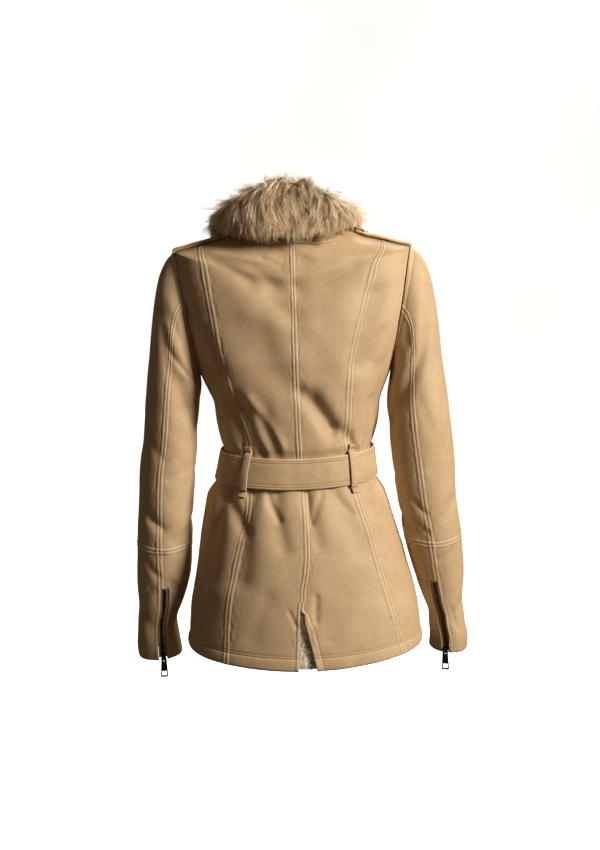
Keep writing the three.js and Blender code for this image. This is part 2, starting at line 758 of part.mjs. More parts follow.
const solidOf = (geometry) => {
  const { position } = geometry.attributes;
  const seen = new Map();
  const vertices = [];
  const triangles = [];
  for (let i = 0; i < position.count; i++) {
    const xyz = [position.getX(i), position.getY(i), position.getZ(i)];
    const key = xyz.map((value) => value.toFixed(4)).join(" ");
    if (!seen.has(key)) {
      seen.set(key, seen.size);
      vertices.push(...xyz);
    }
    triangles.push(seen.get(key));
  }
  const vertProperties = new Float32Array(vertices);
  const triVerts = new Uint32Array(triangles);
  return new wasm.Manifold(new wasm.Mesh({ numProp: 3, vertProperties, triVerts }));
};

function geometryFrom(solid) {
  const mesh = solid.getMesh();
  const geometry = new THREE.BufferGeometry();
  geometry.setAttribute("position", new THREE.Float32BufferAttribute(mesh.vertProperties, 3));
  return geometry.setIndex([...mesh.triVerts]);
}

const extrude = (shape, depth, curveSegments = 4) =>
  new THREE.ExtrudeGeometry(shape, { depth, bevelEnabled: false, curveSegments });

function slider() {
  const { width, above, below, thickness, seat } = SLIDER;
  const body = new THREE.Shape();
  body.moveTo(-width / 2, above - 2);
  body.quadraticCurveTo(-width / 2, above, 0, above);
  body.quadraticCurveTo(width / 2, above, width / 2, above - 2);
  body.lineTo(width / 2 - 1.2, -below);
  body.lineTo(1.2 - width / 2, -below);
  const plate = extrude(body, thickness).translate(0, 0, seat - thickness);
  const arch = new THREE.Shape();
  arch.moveTo(BAIL.outside, seat - 0.6);
  arch.lineTo(BAIL.outside, 0);
  arch.absarc(0, 0, BAIL.outside, 0, Math.PI, false);
  arch.lineTo(-BAIL.outside, seat - 0.6);
  arch.lineTo(-BAIL.inside, seat - 0.6);
  arch.absarc(0, 0, BAIL.inside, Math.PI, 0, true);
  arch.lineTo(BAIL.inside, seat - 0.6);
  const bail = extrude(arch, BAIL.width, 6).translate(0, 0, -BAIL.width / 2);
  bail.rotateX(Math.PI / 2).rotateZ(Math.PI / 2);
  return geometryFrom(solidOf(plate).add(solidOf(bail)));
}

function pull() {
  const { top, bar, hole, holeHalf, length, thickness, neck, foot } = PULL;
  const plate = new THREE.Shape();
  plate.moveTo(-neck, top - 1);
  plate.quadraticCurveTo(-neck, top, 1 - neck, top);
  plate.lineTo(neck - 1, top);
  plate.quadraticCurveTo(neck, top, neck, top - 1);
  plate.lineTo(foot, 2 - length);
  plate.quadraticCurveTo(foot, -length, foot - 2, -length);
  plate.lineTo(2 - foot, -length);
  plate.quadraticCurveTo(-foot, -length, -foot, 2 - length);
  const eye = new THREE.Path();
  eye.moveTo(-holeHalf, -bar);
  eye.lineTo(-holeHalf, -hole + 2);
  eye.quadraticCurveTo(-holeHalf, -hole, 0, -hole);
  eye.quadraticCurveTo(holeHalf, -hole, holeHalf, -hole + 2);
  eye.lineTo(holeHalf, -bar);
  const window = new THREE.Path();
  window.moveTo(-PULL_WINDOW.half, -PULL_WINDOW.from);
  window.lineTo(-PULL_WINDOW.half, -PULL_WINDOW.to);
  window.lineTo(PULL_WINDOW.half, -PULL_WINDOW.to);
  window.lineTo(PULL_WINDOW.half, -PULL_WINDOW.from);
  plate.holes.push(eye, window);
  return extrude(plate, thickness, 3).translate(0, 0, -thickness / 2);
}

// Belt, its loops and its buckle

// A point of the belt's band: share 0 at its lower edge, 1 at its upper edge.
function beltPoint(angle, share, out) {
  const low = bodyPoint(angle, BELT_LOW_UP);
  const high = bodyPoint(angle, BELT_HIGH_UP);
  const facing = bodyOut(angle, (BELT_LOW_UP + BELT_HIGH_UP) / 2).setZ(0).normalize();
  return low.lerp(high, share).addScaledVector(facing, BELT_CLEARANCE + out);
}

const BUCKLE = { half: 23, halfHeight: 31, bar: 4.6, thickness: 3.2, gap: 2.2 };
const BELT_START = 15.6; // the end held by the buckle's bar
const BELT_END = 408; // the tip, past the front edge again
const TAIL_RISE = [
  // degrees round, and how far out the band has risen there
  [BELT_START, 0],
  [347, 0],
  [350, 0.3],
  [370, 11.4],
  [377, 11.4],
  [390, BELT_THICKNESS + 0.7],
  [BELT_END, BELT_THICKNESS + 0.7],
].map(([angle, rise]) => ({ angle, rise }));
const tailRise = curve(TAIL_RISE, "angle", "rise");

function belt() {
  const sections = [];
  const steps = 76;
  for (let i = 0; i <= steps; i++) {
    const angle = lerp(BELT_START, BELT_END, i / steps);
    const rise = tailRise(angle);
    const pointed = clamp((BELT_END - angle) / 8, 0.45, 1); // the tip narrows
    const low = 0.5 - 0.5 * pointed;
    const high = 0.5 + 0.5 * pointed;
    const outer = rise + BELT_THICKNESS;
    sections.push([
      beltPoint(angle, low, rise),
      beltPoint(angle, low, outer),
      beltPoint(angle, high, outer),
      beltPoint(angle, high, rise),
    ]);
  }
  return loft(sections);
}

function beltLoop(side) {
  const height = (BELT_LOW_UP + BELT_HIGH_UP) / 2;
  const angle = backAngle(princess[side](height) * towards(side), height);
  const outside = BELT_THICKNESS + 1;
  const onBelt = (share, out) => (turn) => beltPoint(angle + turn, share, outside + out);
  const onCloth = (up, out) => (turn) => onBody(angle + turn, up, 1.9 + out);
  const route = (out) => [
    onCloth(BELT_LOW_UP - 14, out),
    onCloth(BELT_LOW_UP - 6, out),
    onBelt(-0.07, out - 1.4),
    onBelt(0.06, out),
    onBelt(0.5, out + 0.5),
    onBelt(0.94, out),
    onBelt(1.07, out - 1.4),
    onCloth(BELT_HIGH_UP + 6, out),
    onCloth(BELT_HIGH_UP + 14, out),
  ];
  const { x, y } = bodyPoint(angle, height);
  const halfTurn = THREE.MathUtils.radToDeg(LOOP_WIDTH / 2 / Math.hypot(x, y));
  const turns = [-halfTurn, halfTurn];
  const layer = (out) => route(out).map((at) => turns.map((turn) => at(turn)));
  return wall(layer(LOOP_THICKNESS), layer(0));
}

// The buckle's frame, flat in front of the belt, with its prong across the tail.
const buckleFace = () => beltPoint(0, 0.5, BELT_THICKNESS + BUCKLE.gap);

function buckle() {
  const { half, halfHeight, bar, thickness } = BUCKLE;
  const rounded = (shape, x, y, r) => {
    shape.moveTo(-x + r, -y);
    shape.lineTo(x - r, -y);
    shape.quadraticCurveTo(x, -y, x, -y + r);
    shape.lineTo(x, y - r);
    shape.quadraticCurveTo(x, y, x - r, y);
    shape.lineTo(-x + r, y);
    shape.quadraticCurveTo(-x, y, -x, y - r);
    shape.lineTo(-x, -y + r);
    shape.quadraticCurveTo(-x, -y, -x + r, -y);
    return shape;
  };
  const frame = rounded(new THREE.Shape(), half, halfHeight, 6);
  frame.holes.push(rounded(new THREE.Path(), half - bar, halfHeight - bar, 2));
  return extrude(frame, thickness, 4);
}

// The place of a rigid piece whose own X lies across and whose own Z points out.
const placeAt = (at, across, out) =>
  new THREE.Matrix4().makeBasis(across, out.clone().cross(across), out).setPosition(at);

// Shoulder straps

const STRAP = { half: 17, tipUp: 655, endUp: 742, under: 2, thickness: 3.2, point: 14 };
const SNAP = { radius: 6, height: 2.4, up: 729 };

function shoulderStrap(side) {
  const around = sideAngle(side);
  const rows = [0, 0.06, 0.25, 0.45, 0.65, 0.82, 1].map((share) => lerp(STRAP.tipUp, STRAP.endUp, share));
  const layer = (out) =>
    rows.map((up) => {
      const narrow = 0.4 + 0.6 * clamp((STRAP.endUp - up) / STRAP.point, 0, 1);
      const turn = THREE.MathUtils.radToDeg(Math.asin((STRAP.half * narrow) / torso.half(up)));
      return spread(6).map((share) => onBody(around + lerp(-turn, turn, share), up, out));
    });
  return wall(layer(STRAP.under + STRAP.thickness), layer(STRAP.under));
}

function strapSnap() {
  const { radius, height } = SNAP;
  const button = new THREE.CylinderGeometry(radius - 1, radius, height, 18);
  return button.rotateX(Math.PI / 2).translate(0, 0, height / 2);
}

function snapPlace(side) {
  const around = sideAngle(side);
  const at = onBody(around, SNAP.up, STRAP.under + STRAP.thickness + 0.5);
  return placeAt(at, new THREE.Vector3(0, 1, 0), bodyOut(around, SNAP.up));
}

// Fur collar: a thick roll round the neck, open at the front and hollowed over the shoulders.
function furCollar() {
  const first = COLLAR[0].angle;
  const last = COLLAR.at(-1).angle;
  const section = (share) => {
    const angle = lerp(first, last, share);
    const neck = onBody(angle, NECK_UP, 0);
    const away = new THREE.Vector3(neck.x, neck.y, 0).normalize();
    const at = (out, z) => neck.clone().addScaledVector(away, out).setZ(z);
    const top = collar.top(angle);
    const reach = collar.reach(angle);
    const bulgeZ = collar.bulgeZ(angle);
    const edgeUp = collar.edgeUp(angle);
    const clump = CLUMP_RISE * Math.sin(share * COLLAR_CLUMPS * 2 * Math.PI);
    const under = (part) => {
      const up = lerp(edgeUp, NECK_UP, part);
      const lift = lerp(COLLAR_LIFT, 0.8, clamp((part - 0.55) / 0.45, 0, 1) ** 1.5);
      return onBody(angle, up, Math.min(lift, 0.8 + (NECK_UP - up) * 0.9));
    };
    const edge = under(0);
    const edgeOut = Math.hypot(edge.x, edge.y) - Math.hypot(neck.x, neck.y);
    return [
      at(-1, neck.z + 2),
      at(-5, lerp(neck.z, top, 0.45)),
      at(-1, top - 12),
      at(8, top - 3),
      at(20, top + clump * 0.4),
      at(33, top - 5 + clump),
      at(lerp(33, reach, 0.7), lerp(top, bulgeZ, 0.45)),
      at(Math.max(reach, edgeOut) + clump, bulgeZ),
      at(Math.max(reach - 5, edgeOut + 8) + clump, Math.max(edge.z + 3, collar.tipsZ(angle))),
      edge,
      under(0.35),
      under(0.7),
      under(0.93),
    ];
  };
  return loft(spread(COLLAR_SEGMENTS).map(section));
}

// The coat

const coat = new THREE.Group();
const shearling = { color: 0xc9a77a, roughness: 0.78 };
const wool = { color: 0xcfc3ae, roughness: 1 };
const fur = { color: 0xa98d6a, roughness: 0.95 };
const metal = { color: 0x4a3f38, roughness: 0.35, metalness: 0.9 };
const tape = { color: 0x4b3626, roughness: 0.8 };

function add(name, geometry, look, place = new THREE.Matrix4()) {
  const mesh = new THREE.Mesh(geometry, new THREE.MeshStandardMaterial(look));
  mesh.name = name;
  mesh.applyMatrix4(place);
  coat.add(mesh);
}

for (const side of ["left", "right"]) {
  add(`front_${side}`, frontPanel(side), shearling);
  add(`back_centre_${side}`, backCentre(side), shearling);
  add(`back_side_${side}`, backSide(side), shearling);
  for (const part of ["outer", "inner"]) {
    add(`sleeve_upper_${part}_${side}`, sleevePiece(side, part, UPPER_SLEEVE_ROWS), shearling);
    add(`sleeve_lower_${part}_${side}`, sleevePiece(side, part, LOWER_SLEEVE_ROWS), shearling);
  }
  add(`shoulder_strap_${side}`, shoulderStrap(side), shearling);
  add(`strap_snap_${side}`, strapSnap(), metal, snapPlace(side));
  add(`belt_loop_${side}`, beltLoop(side), shearling);
  add(`cuff_zip_${side}`, cuffZip(side), tape);
}

// A slider closes its zip, with its pull hanging from it. "above" is how far the pull's hinge
// stands off the cloth.
function addSlider(name, at, across, out, above) {
  const place = placeAt(at.clone().addScaledVector(out, above), across, out);
  add(`${name}_slider`, slider(), metal, place);
  add(`${name}_pull`, pull(), metal, place);
}
const SLIDER_STANDS = CHAIN_RISE - TAPE_RECESS + SLIDER.thickness - SLIDER.seat;

// The cuff sliders sit at the lower ends of their zips, and their pulls hang straight down.
const CUFF_SLIDER_ABOVE = 5.5; // above the cuff's edge
for (const side of ["left", "right"]) {
  const along = CUFF_END - CUFF_SLIDER_ABOVE;
  const angle = sleeveSeam[side](along) + zipAngle(along) / 2;
  const place = sleevePlace(side);
  const at = place(angle, along, 0);
  const out = place(angle, along, 1).sub(at).setZ(0).normalize();
  const across = new THREE.Vector3(0, 0, 1).cross(out).normalize();
  addSlider(`cuff_${side}`, at, across, out, SLIDER_STANDS + 1.2);
}

const frontSliderUp = FRONT_ZIP_TOP_UP - 12;
const frontSliderAt = bodyPoint(0, frontSliderUp);
const frontOut = bodyOut(0, frontSliderUp);
add("front_zip", frontZip(), tape);
addSlider("front", frontSliderAt, new THREE.Vector3(1, 0, 0), frontOut, SLIDER_STANDS + 0.5);

const bucklePlace = placeAt(
  buckleFace(),
  new THREE.Vector3(1, 0, 0),
  new THREE.Vector3(0, -1, 0),
);
add("belt", belt(), shearling);
add("belt_buckle", buckle(), metal, bucklePlace);
add("vent_underlap", ventUnderlap(), wool);
add("fur_collar", furCollar(), fur);

export default coat;
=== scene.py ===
import json
import math

import bmesh
import bpy
import numpy as np
from bpy.props import FloatProperty, FloatVectorProperty, PointerProperty
from bpy.types import Operator, Panel, PropertyGroup
from mathutils import Matrix, Vector

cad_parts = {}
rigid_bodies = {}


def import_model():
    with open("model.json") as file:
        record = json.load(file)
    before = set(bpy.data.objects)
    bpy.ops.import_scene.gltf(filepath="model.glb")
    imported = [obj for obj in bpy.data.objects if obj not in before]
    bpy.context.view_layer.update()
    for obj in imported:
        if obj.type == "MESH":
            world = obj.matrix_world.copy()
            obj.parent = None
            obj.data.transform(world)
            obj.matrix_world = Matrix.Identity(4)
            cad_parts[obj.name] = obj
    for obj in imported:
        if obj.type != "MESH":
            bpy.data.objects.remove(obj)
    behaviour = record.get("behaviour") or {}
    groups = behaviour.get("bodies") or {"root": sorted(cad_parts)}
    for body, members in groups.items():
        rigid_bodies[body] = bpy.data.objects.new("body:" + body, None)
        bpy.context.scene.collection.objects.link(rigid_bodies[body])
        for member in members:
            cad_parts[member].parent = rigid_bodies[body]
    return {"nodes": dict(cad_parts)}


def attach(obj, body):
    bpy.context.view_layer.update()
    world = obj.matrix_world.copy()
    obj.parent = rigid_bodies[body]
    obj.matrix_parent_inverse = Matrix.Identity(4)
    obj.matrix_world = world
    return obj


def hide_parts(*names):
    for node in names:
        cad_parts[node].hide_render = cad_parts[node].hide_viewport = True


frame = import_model()

bl_info = {
    "name": "Shearling coat",
    "version": (1, 0, 0),
    "blender": (4, 5, 0),
    "location": "View3D > Sidebar > Coat",
    "description": "A tan shearling coat with a fur collar, built over its solids",
    "category": "Object",
}

# Lengths in the tables are millimetres. "angle" goes round the body from the front edge (0)
# past the wearer's left (90) to the back seam (180). "up" is the distance up the side from the
# hem, then in along the shoulder. "along" runs down a sleeve from the armhole.
MM = 0.001

HIDE = 6  # the sheepskin with its wool
WOOL_SINK = 1.2  # the wool side stays this far within the solid's inner face
SEAM_GAP = 0.5
JOIN_GAP = 0.1
SEAM_BAND = 5
STITCH_ROW = SEAM_BAND + 1
THREAD_SINK = 0.1
NARROW = 23.4  # a narrower panel has the relief of its seams scaled down
SEAM_REACH = 30  # the distance from a seam at which its attribute reaches 1
HEM_TURNING = 21
HEM_STITCHES = (HEM_TURNING + 0.8, HEM_TURNING + 5)
ARMPIT_UP = 457
SHOULDER_UP = 655
NECK_UP = 774
PRINCESS_TOP_UP = 703
ARMHOLE_HALF_ANGLE = 13.5
VENT_UP = 104
VENT_SPREAD = 29
RIDGE_POWER = 1.4
CUFF_ZIP_WIDTH = 12.5
CUFF_ZIP_TOP = 432
FRONT_ZIP_WIDTH = 12
FRONT_ZIP_TOP_UP = 640
TAPE_RECESS = 2.2
TAPE_THICKNESS = 2
CHAIN_WIDTH = 4.4
ELBOW_SEAM = 362
CUFF_END = 562
SLEEVE_FRONT_SEAM = 250
ARMHOLE_SEAT = 1.3
CAP_LENGTH = 60
BELT_LOW_UP = 289
BELT_HIGH_UP = 337
BELT_WIDTH = BELT_HIGH_UP - BELT_LOW_UP
BELT_CLEARANCE = 1.7
BELT_THICKNESS = 4
TAIL_LIFT = BELT_THICKNESS + 0.7
LOOP_WIDTH = 10
LOOP_THICKNESS = 2.5
SLEEVE_FOLD_RADIUS = 45
FOLD_RADIUS = 125
COLLAR_LIFT = 9
BELT_START = 15.6
BELT_END = 408
STRAP = {
    "half": 17, "tip_up": 655, "end_up": 742, "under": 2, "thickness": 3.2, "point": 14,
    "stitch": 3.6,
}


def table(columns, rows):
    """The columns of a table, each as an array."""
    return dict(zip(columns.split(), np.array(rows, float).T))


TORSO = table("up half back front side_z back_z front_z square sway", [
    [0, 191, 131, 121, -658, -671, -668, 2.2, -5],
    [72, 184, 127.5, 116.5, -592, -602, -599, 2.2, -4.5],
    [147, 170, 121, 110, -525, -532, -529, 2.2, -2],
    [214, 155, 112, 101, -458, -464, -462, 2.2, 1.5],
    [245, 147.5, 106, 97, -427, -433, -430, 2.2, 3],
    [264, 142, 100, 93, -408, -414, -411, 2.25, 4],
    [289, 126, 89, 86, -383, -389, -386, 2.3, 3],
    [312, 120, 85, 84, -360, -366, -363, 2.3, 1],
    [337, 117.5, 83, 84, -335, -341, -337, 2.3, 0],
    [349, 122, 88, 89, -323, -327, -324, 2.3, -0.5],
    [380, 129, 92, 97, -292, -294, -293, 2.3, -1.5],
    [410, 132, 96, 105, -262, -263, -263, 2.3, -1.5],
    [430, 139, 99, 111, -242, -243, -244, 2.35, -0.8],
    [457, 150, 102, 116, -215, -217, -219, 2.4, 0],
    [500, 160, 105, 118, -172, -184, -192, 2.4, 0],
    [560, 174, 104, 110, -112, -140, -158, 2.4, 0],
    [610, 181, 98, 98, -63, -105, -131, 2.4, 0],
    [655, 184, 88, 85, -20, -72, -108, 2.3, 0],
    [672, 168, 85.5, 82, -16, -61, -101, 2.3, 0],
    [720, 121, 75, 75, -4, -31, -82, 2.2, 0],
    [774, 68, 60, 66, 10, -2, -60, 2, 0],
])
PRINCESS = table("up left right", [
    [0, 122, 162], [80, 117, 144], [150, 107, 126], [214, 92, 110], [270, 80, 92],
    [337, 77, 80], [420, 97, 82], [500, 117, 91], [580, 128, 109], [640, 136, 125],
    [664, 139, 133], [684, 141.5, 140], [694, 141.8, 141.8], [699, 140.3, 140.3],
    [703, 137.5, 137.5],
])
BACK_SEAM = table("up off", [
    [0, 7], [100, 2], [195, -11], [280, -10], [337, -3], [500, 0], [774, 0],
])
SLEEVE = table("along inner_x inner_z outer_x outer_z middle_y depth", [
    [0, 151.5, -216, 185, -18, 0, 41],
    [12, 151, -221, 199, -33, 0, 47],
    [28, 150.5, -226, 211, -58, 0, 51],
    [50, 150.2, -232, 220, -100, 1, 54],
    [76, 150.2, -240, 227, -148, 2, 55],
    [106, 150.8, -254, 234, -198, 3, 55],
    [140, 152, -278, 241, -250, 4, 54],
    [190, 155.5, -325, 247, -308, 5, 52],
    [243, 160.5, -375, 254, -364, 5, 50],
    [300, 167.5, -430, 259, -423, 3, 48],
    [362, 175, -490, 264.5, -488, -3, 46],
    [420, 186, -547, 267.5, -548, -13, 43],
    [467, 198, -592, 267, -596, -22, 41],
    [504, 208, -628, 268.5, -633, -29, 40],
    [540, 207.5, -664, 272, -668, -34, 42],
    [562, 209, -686, 270.5, -690, -37, 41],
])
SLEEVE_LEAN = table("along left_in left_out right_in right_out", [
    [0, 0, 0, 0, 0], [28, 0, 0, 0, 3], [76, 1, 0, -2, 2], [106, 3, 0, -5, 0],
    [140, 4.5, -1, -6.5, 0], [190, 5, -2, -7, 0], [243, 5, 0, -7, -2], [300, 3.5, 0, -7, -4.5],
    [362, 0, 0, -5, -1.5], [420, -4.5, 1, -1, 0], [467, -3, 3, 1, 0], [504, 0, 4, 3, 1],
    [540, -4, 4, 5, 4], [562, -8, 4, 2, 4.5],
])
SLEEVE_SEAM = table("along left right", [
    [0, 77, 87], [140, 83, 105], [243, 80, 103], [362, 83, 99], [420, 88, 102],
    [504, 97, 101], [562, 91, 92],
])
COLLAR = table("angle top reach bulge_z tips_z edge_up", [
    [9, -26, 44, -62, -104, 668],
    [30, -4, 52, -48, -86, 655],
    [60, 30, 64, -12, -42, 676],
    [76, 44, 74, 8, -12, 712],
    [90, 54, 62, 30, 13, 752],
    [120, 72, 54, 32, 5, 752],
    [150, 88, 48, 30, 3, 756],
    [172, 98, 44, 30, 1, 764],
    [184, 88, 44, 30, 1, 764],
    [194, 93, 45, 28, 1, 762],
    [214, 74, 47, 28, 2, 752],
    [240, 56, 47, 24, 5, 748],
    [270, 41, 48, 20, 11, 742],
    [284, 34, 55, 2, -14, 712],
    [300, 22, 60, -16, -42, 676],
    [330, -10, 52, -50, -86, 655],
    [351, -26, 44, -62, -104, 668],
])
TAIL_RISE = table("angle rise", [
    [BELT_START, 0], [347, 0], [350, 0.3], [370, 11.4], [377, 11.4],
    [390, TAIL_LIFT], [BELT_END, TAIL_LIFT],
])

# Troughs in the cloth, from one place to another: x, y, to x, to y, depth and width.
# Negative depths are ridges. The first block of each is what the solids also have.
BODY_FOLDS = [
    [112, 470, 133, 352, 6, 17], [124, 440, 140, 366, -3.5, 13], [150, 395, 158, 346, 5, 15],
    [131, 560, 158, 470, 3.5, 26], [139, 690, 172, 640, 4, 15], [151, 660, 176, 590, 3.5, 20],
    [196, 425, 214, 372, 6, 16], [224, 372, 232, 346, 4, 10], [239, 600, 228, 480, 6, 17],
    [246, 470, 262, 360, 4, 16], [186, 600, 222, 640, 3, 24], [160, 280, 168, 205, 5, 15],
    [140, 284, 137, 150, 6, 18], [190, 284, 196, 205, 3.5, 13], [214, 284, 226, 190, 3, 16],
    [120, 282, 112, 150, 4, 16], [64, 470, 38, 420, 5, 20], [48, 352, 40, 420, 4.5, 14],
    [25, 350, 30, 400, 3.5, 13], [30, 284, 34, 190, 4.5, 16], [62, 284, 66, 160, 5, 17],
    [296, 470, 322, 420, 5, 20], [312, 352, 320, 425, 4.5, 14], [336, 350, 330, 405, 3.5, 13],
    [330, 284, 325, 180, 4.5, 16], [297, 284, 293, 150, 5, 17],
]
BODY_CREASES = [
    [120.5, 668, 143, 644, 2.4, 14], [143, 644, 179, 654, 2.2, 15],
    [115.5, 690, 164, 706, -1.5, 9], [148, 708, 166.5, 700, 1.2, 6],
    [229, 660, 186.5, 644, 3.2, 17], [189.5, 732, 239.5, 678, -1.2, 10],
    [97, 590, 108.5, 556, 2.2, 9], [130, 426, 144, 340, 3.8, 11], [141, 426, 164.5, 356, -2, 9],
    [126.5, 352, 127, 338, 1.6, 4], [184, 436, 212, 378, 4.4, 13], [212, 378, 229.5, 358, 1.8, 8],
    [219.5, 354, 230, 366, 1.6, 4], [231, 364, 239, 344, -1.3, 4], [245, 416, 247, 350, 2.5, 8],
    [153.5, 280, 165, 244, 2.2, 6], [122.5, 276, 138, 224, 3.6, 10], [191, 280, 191, 238, 1.8, 5],
    [203.5, 278, 192, 240, 1.4, 6], [216.5, 274, 223, 250, 1.2, 7], [189.5, 124, 188, 84, 1.8, 5],
    [169.5, 100, 174.5, 74, 1.2, 3.5], [108.5, 166, 118, 266, 1.6, 9],
    [109, 26, 118.5, 106, 1.4, 9],
    [242, 166, 241, 252, 1.5, 9], [196.5, 52, 212, 116, 1, 12], [143.5, 50, 155.5, 120, 1, 12],
    [117.5, 542, 125, 470, 1.8, 8], [100, 446, 111, 390, 1.6, 7], [235.5, 484, 243.5, 532, 1.6, 8],
    [154.5, 558, 172, 440, 2, 22], [128, 610, 156, 520, 1.8, 24],
    [70, 560, 52, 500, 2, 12], [60, 640, 30, 600, 1.6, 16], [44, 420, 26, 452, 1.8, 9],
    [20, 356, 24, 380, 1.5, 5], [52, 352, 58, 372, 1.4, 5], [20, 280, 24, 236, 1.8, 7],
    [48, 280, 44, 230, 1.5, 6], [72, 276, 76, 220, 1.8, 8], [36, 130, 30, 50, 1.2, 12],
    [292, 560, 306, 500, 2, 12], [300, 640, 330, 606, 1.6, 16], [318, 424, 334, 456, 1.8, 9],
    [342, 356, 338, 384, 1.5, 5], [306, 354, 300, 376, 1.4, 5], [340, 280, 336, 240, 1.6, 7],
    [314, 280, 318, 226, 1.5, 6], [288, 276, 284, 216, 1.8, 8], [324, 120, 332, 48, 1.2, 12],
]
SLEEVE_FOLDS = [
    [60, 60, 120, 130, 4, 14], [110, 90, 170, 165, 4.5, 14], [40, 300, 95, 330, 3, 11],
    [120, 350, 185, 320, 3.5, 12], [300, 330, 250, 372, 4.5, 12], [290, 390, 230, 372, 4.5, 12],
    [20, 470, 80, 500, 3, 13], [250, 480, 330, 500, 3, 12],
]
SLEEVE_CREASES = {
    "left": [
        [61, 316, 90, 332, 1.5, 5], [84, 66, 118, 62, 2, 7], [63, 386, 89, 374, 1.2, 5],
        [53, 388, 82, 410, 1.2, 6], [109, 422, 146, 442, 1.4, 5], [175, 474, 164, 498, 2, 6],
        [30, 460, 67, 434, 1, 6], [46, 192, 89, 220, 1, 8], [39, 48, 82, 30, 1.4, 8],
        [97, 248, 130, 232, 1.2, 7], [300, 100, 260, 150, 2.2, 9], [250, 300, 290, 330, 1.6, 7],
        [310, 420, 270, 440, 1.4, 6], [220, 200, 180, 240, 1.4, 8],
    ],
    "right": [
        [121, 294, 100, 316, 1.6, 5], [123, 330, 102, 348, 1.6, 5], [81, 244, 44, 204, 1.2, 8],
        [87, 394, 58, 382, 1.2, 6], [128, 442, 113, 462, 1.2, 5], [74, 484, 63, 518, 1, 6],
        [104, 20, 100, 56, 1.6, 8], [90, 134, 73, 182, 1, 8], [62, 328, 30, 302, 1.1, 6],
        [295, 110, 262, 160, 2.2, 9], [246, 310, 292, 336, 1.6, 7], [305, 430, 268, 446, 1.4, 6],
        [214, 210, 184, 250, 1.4, 8],
    ],
}


def lerp(a, b, share):
    return a + (b - a) * share


def ease(share):
    """A share from 0 to 1, made to start and end level."""
    return share * share * (3 - 2 * share)


def curve(xs, ys):
    """A smooth curve through the points that never overshoots them."""
    last = len(xs) - 1
    steps = np.diff(ys) / np.diff(xs)
    product = steps[:-1] * steps[1:]
    total = np.where(product > 0, steps[:-1] + steps[1:], 1)
    slopes = np.concatenate([steps[:1], np.where(product > 0, 2 * product / total, 0), steps[-1:]])

    def value(at):
        at = np.asarray(at, float)
        i = np.clip(np.searchsorted(xs, at, side="right") - 1, 0, last - 1)
        width = xs[i + 1] - xs[i]
        t = (at - xs[i]) / width
        bend = t * (1 - t) * width * ((1 - t) * slopes[i] - t * slopes[i + 1])
        return lerp(ys[i], ys[i + 1], ease(t)) + bend

    return value


def curves_of(columns):
    """One smooth curve for each column, over the first."""
    names = list(columns)
    return {name: curve(columns[names[0]], columns[name]) for name in names[1:]}


torso = curves_of(TORSO)
princess = curves_of(PRINCESS)
back_seam = curves_of(BACK_SEAM)["off"]
sleeve = curves_of(SLEEVE)
sleeve_lean = curves_of(SLEEVE_LEAN)
sleeve_seam = curves_of(SLEEVE_SEAM)
collar = curves_of(COLLAR)
tail_rise = curves_of(TAIL_RISE)["rise"]


def unit(vectors):
    return vectors / np.maximum(np.linalg.norm(vectors, axis=-1, keepdims=True), 1e-9)


def pressed(folds, radius, angle, y):
    """How deep the folds press the cloth in, at places round and along it."""
    x = np.radians(angle) * radius
    total = np.zeros(np.broadcast(x, y).shape)
    for from_angle, from_y, to_angle, to_y, depth, width in folds:
        from_x = math.radians(from_angle) * radius
        dx = math.radians(to_angle) * radius - from_x
        dy = to_y - from_y
        share = np.clip(((x - from_x) * dx + (y - from_y) * dy) / (dx * dx + dy * dy), 0, 1)
        distance = np.hypot(x - from_x - share * dx, y - from_y - share * dy)
        total += depth * np.exp(-((distance / width) ** 2))
    return total


def unevenness(x, y, wavelength, seed):
    """A smooth random height of about plus or minus 1, at places in millimetres."""
    dice = np.random.default_rng(seed)
    total = np.zeros(np.broadcast(x, y).shape)
    for _ in range(9):
        turn = dice.uniform(0, math.tau)
        pace = math.tau / (wavelength * dice.uniform(0.6, 1.8))
        wave = (x * math.cos(turn) + y * math.sin(turn)) * pace
        total += np.sin(wave + dice.uniform(0, math.tau))
    return total / 4.5


# Body surface


CREASE_STRENGTH = 1.5


def body_point(angle, up):
    sin, cos = np.sin(np.radians(angle)), np.cos(np.radians(angle))
    in_front = cos > 0
    depth = np.where(in_front, torso["front"](up), torso["back"](up))
    end_z = np.where(in_front, torso["front_z"](up), torso["back_z"](up))
    square = torso["square"](up)
    reach = np.abs(sin / torso["half"](up)) ** square + np.abs(cos / depth) ** square
    radius = reach ** (-1 / square)
    z = lerp(torso["side_z"](up), end_z, np.abs(cos) ** RIDGE_POWER)
    return np.stack([radius * sin + torso["sway"](up), -radius * cos, z], -1)


def out_of(surface, u, v, du, dv):
    """The direction out of a surface given by a function of two numbers."""
    across = surface(u + du, v) - surface(u - du, v)
    along = surface(u, v + dv) - surface(u, v - dv)
    return unit(np.cross(across, along))


def body_out(angle, up):
    return out_of(body_point, angle, np.clip(up, 2, NECK_UP - 2), 1, 2)


def on_body(angle, up, out, creased=True):
    """A point of the coat's body, moved out of the cloth by some distance."""
    angle, up, out = np.broadcast_arrays(np.asarray(angle, float), np.asarray(up, float), out)
    fade = np.clip((SHOULDER_UP + 40 - up) / 60, 0, 1)
    fold = pressed(BODY_FOLDS, FOLD_RADIUS, angle, up) * fade
    if creased:
        fold = fold + CREASE_STRENGTH * pressed(BODY_CREASES, FOLD_RADIUS, angle, up)
        fold = fold + 0.55 * unevenness(np.radians(angle) * FOLD_RADIUS, up, 62, 3)
    return body_point(angle, up) + body_out(angle, up) * (out - fold)[..., None]


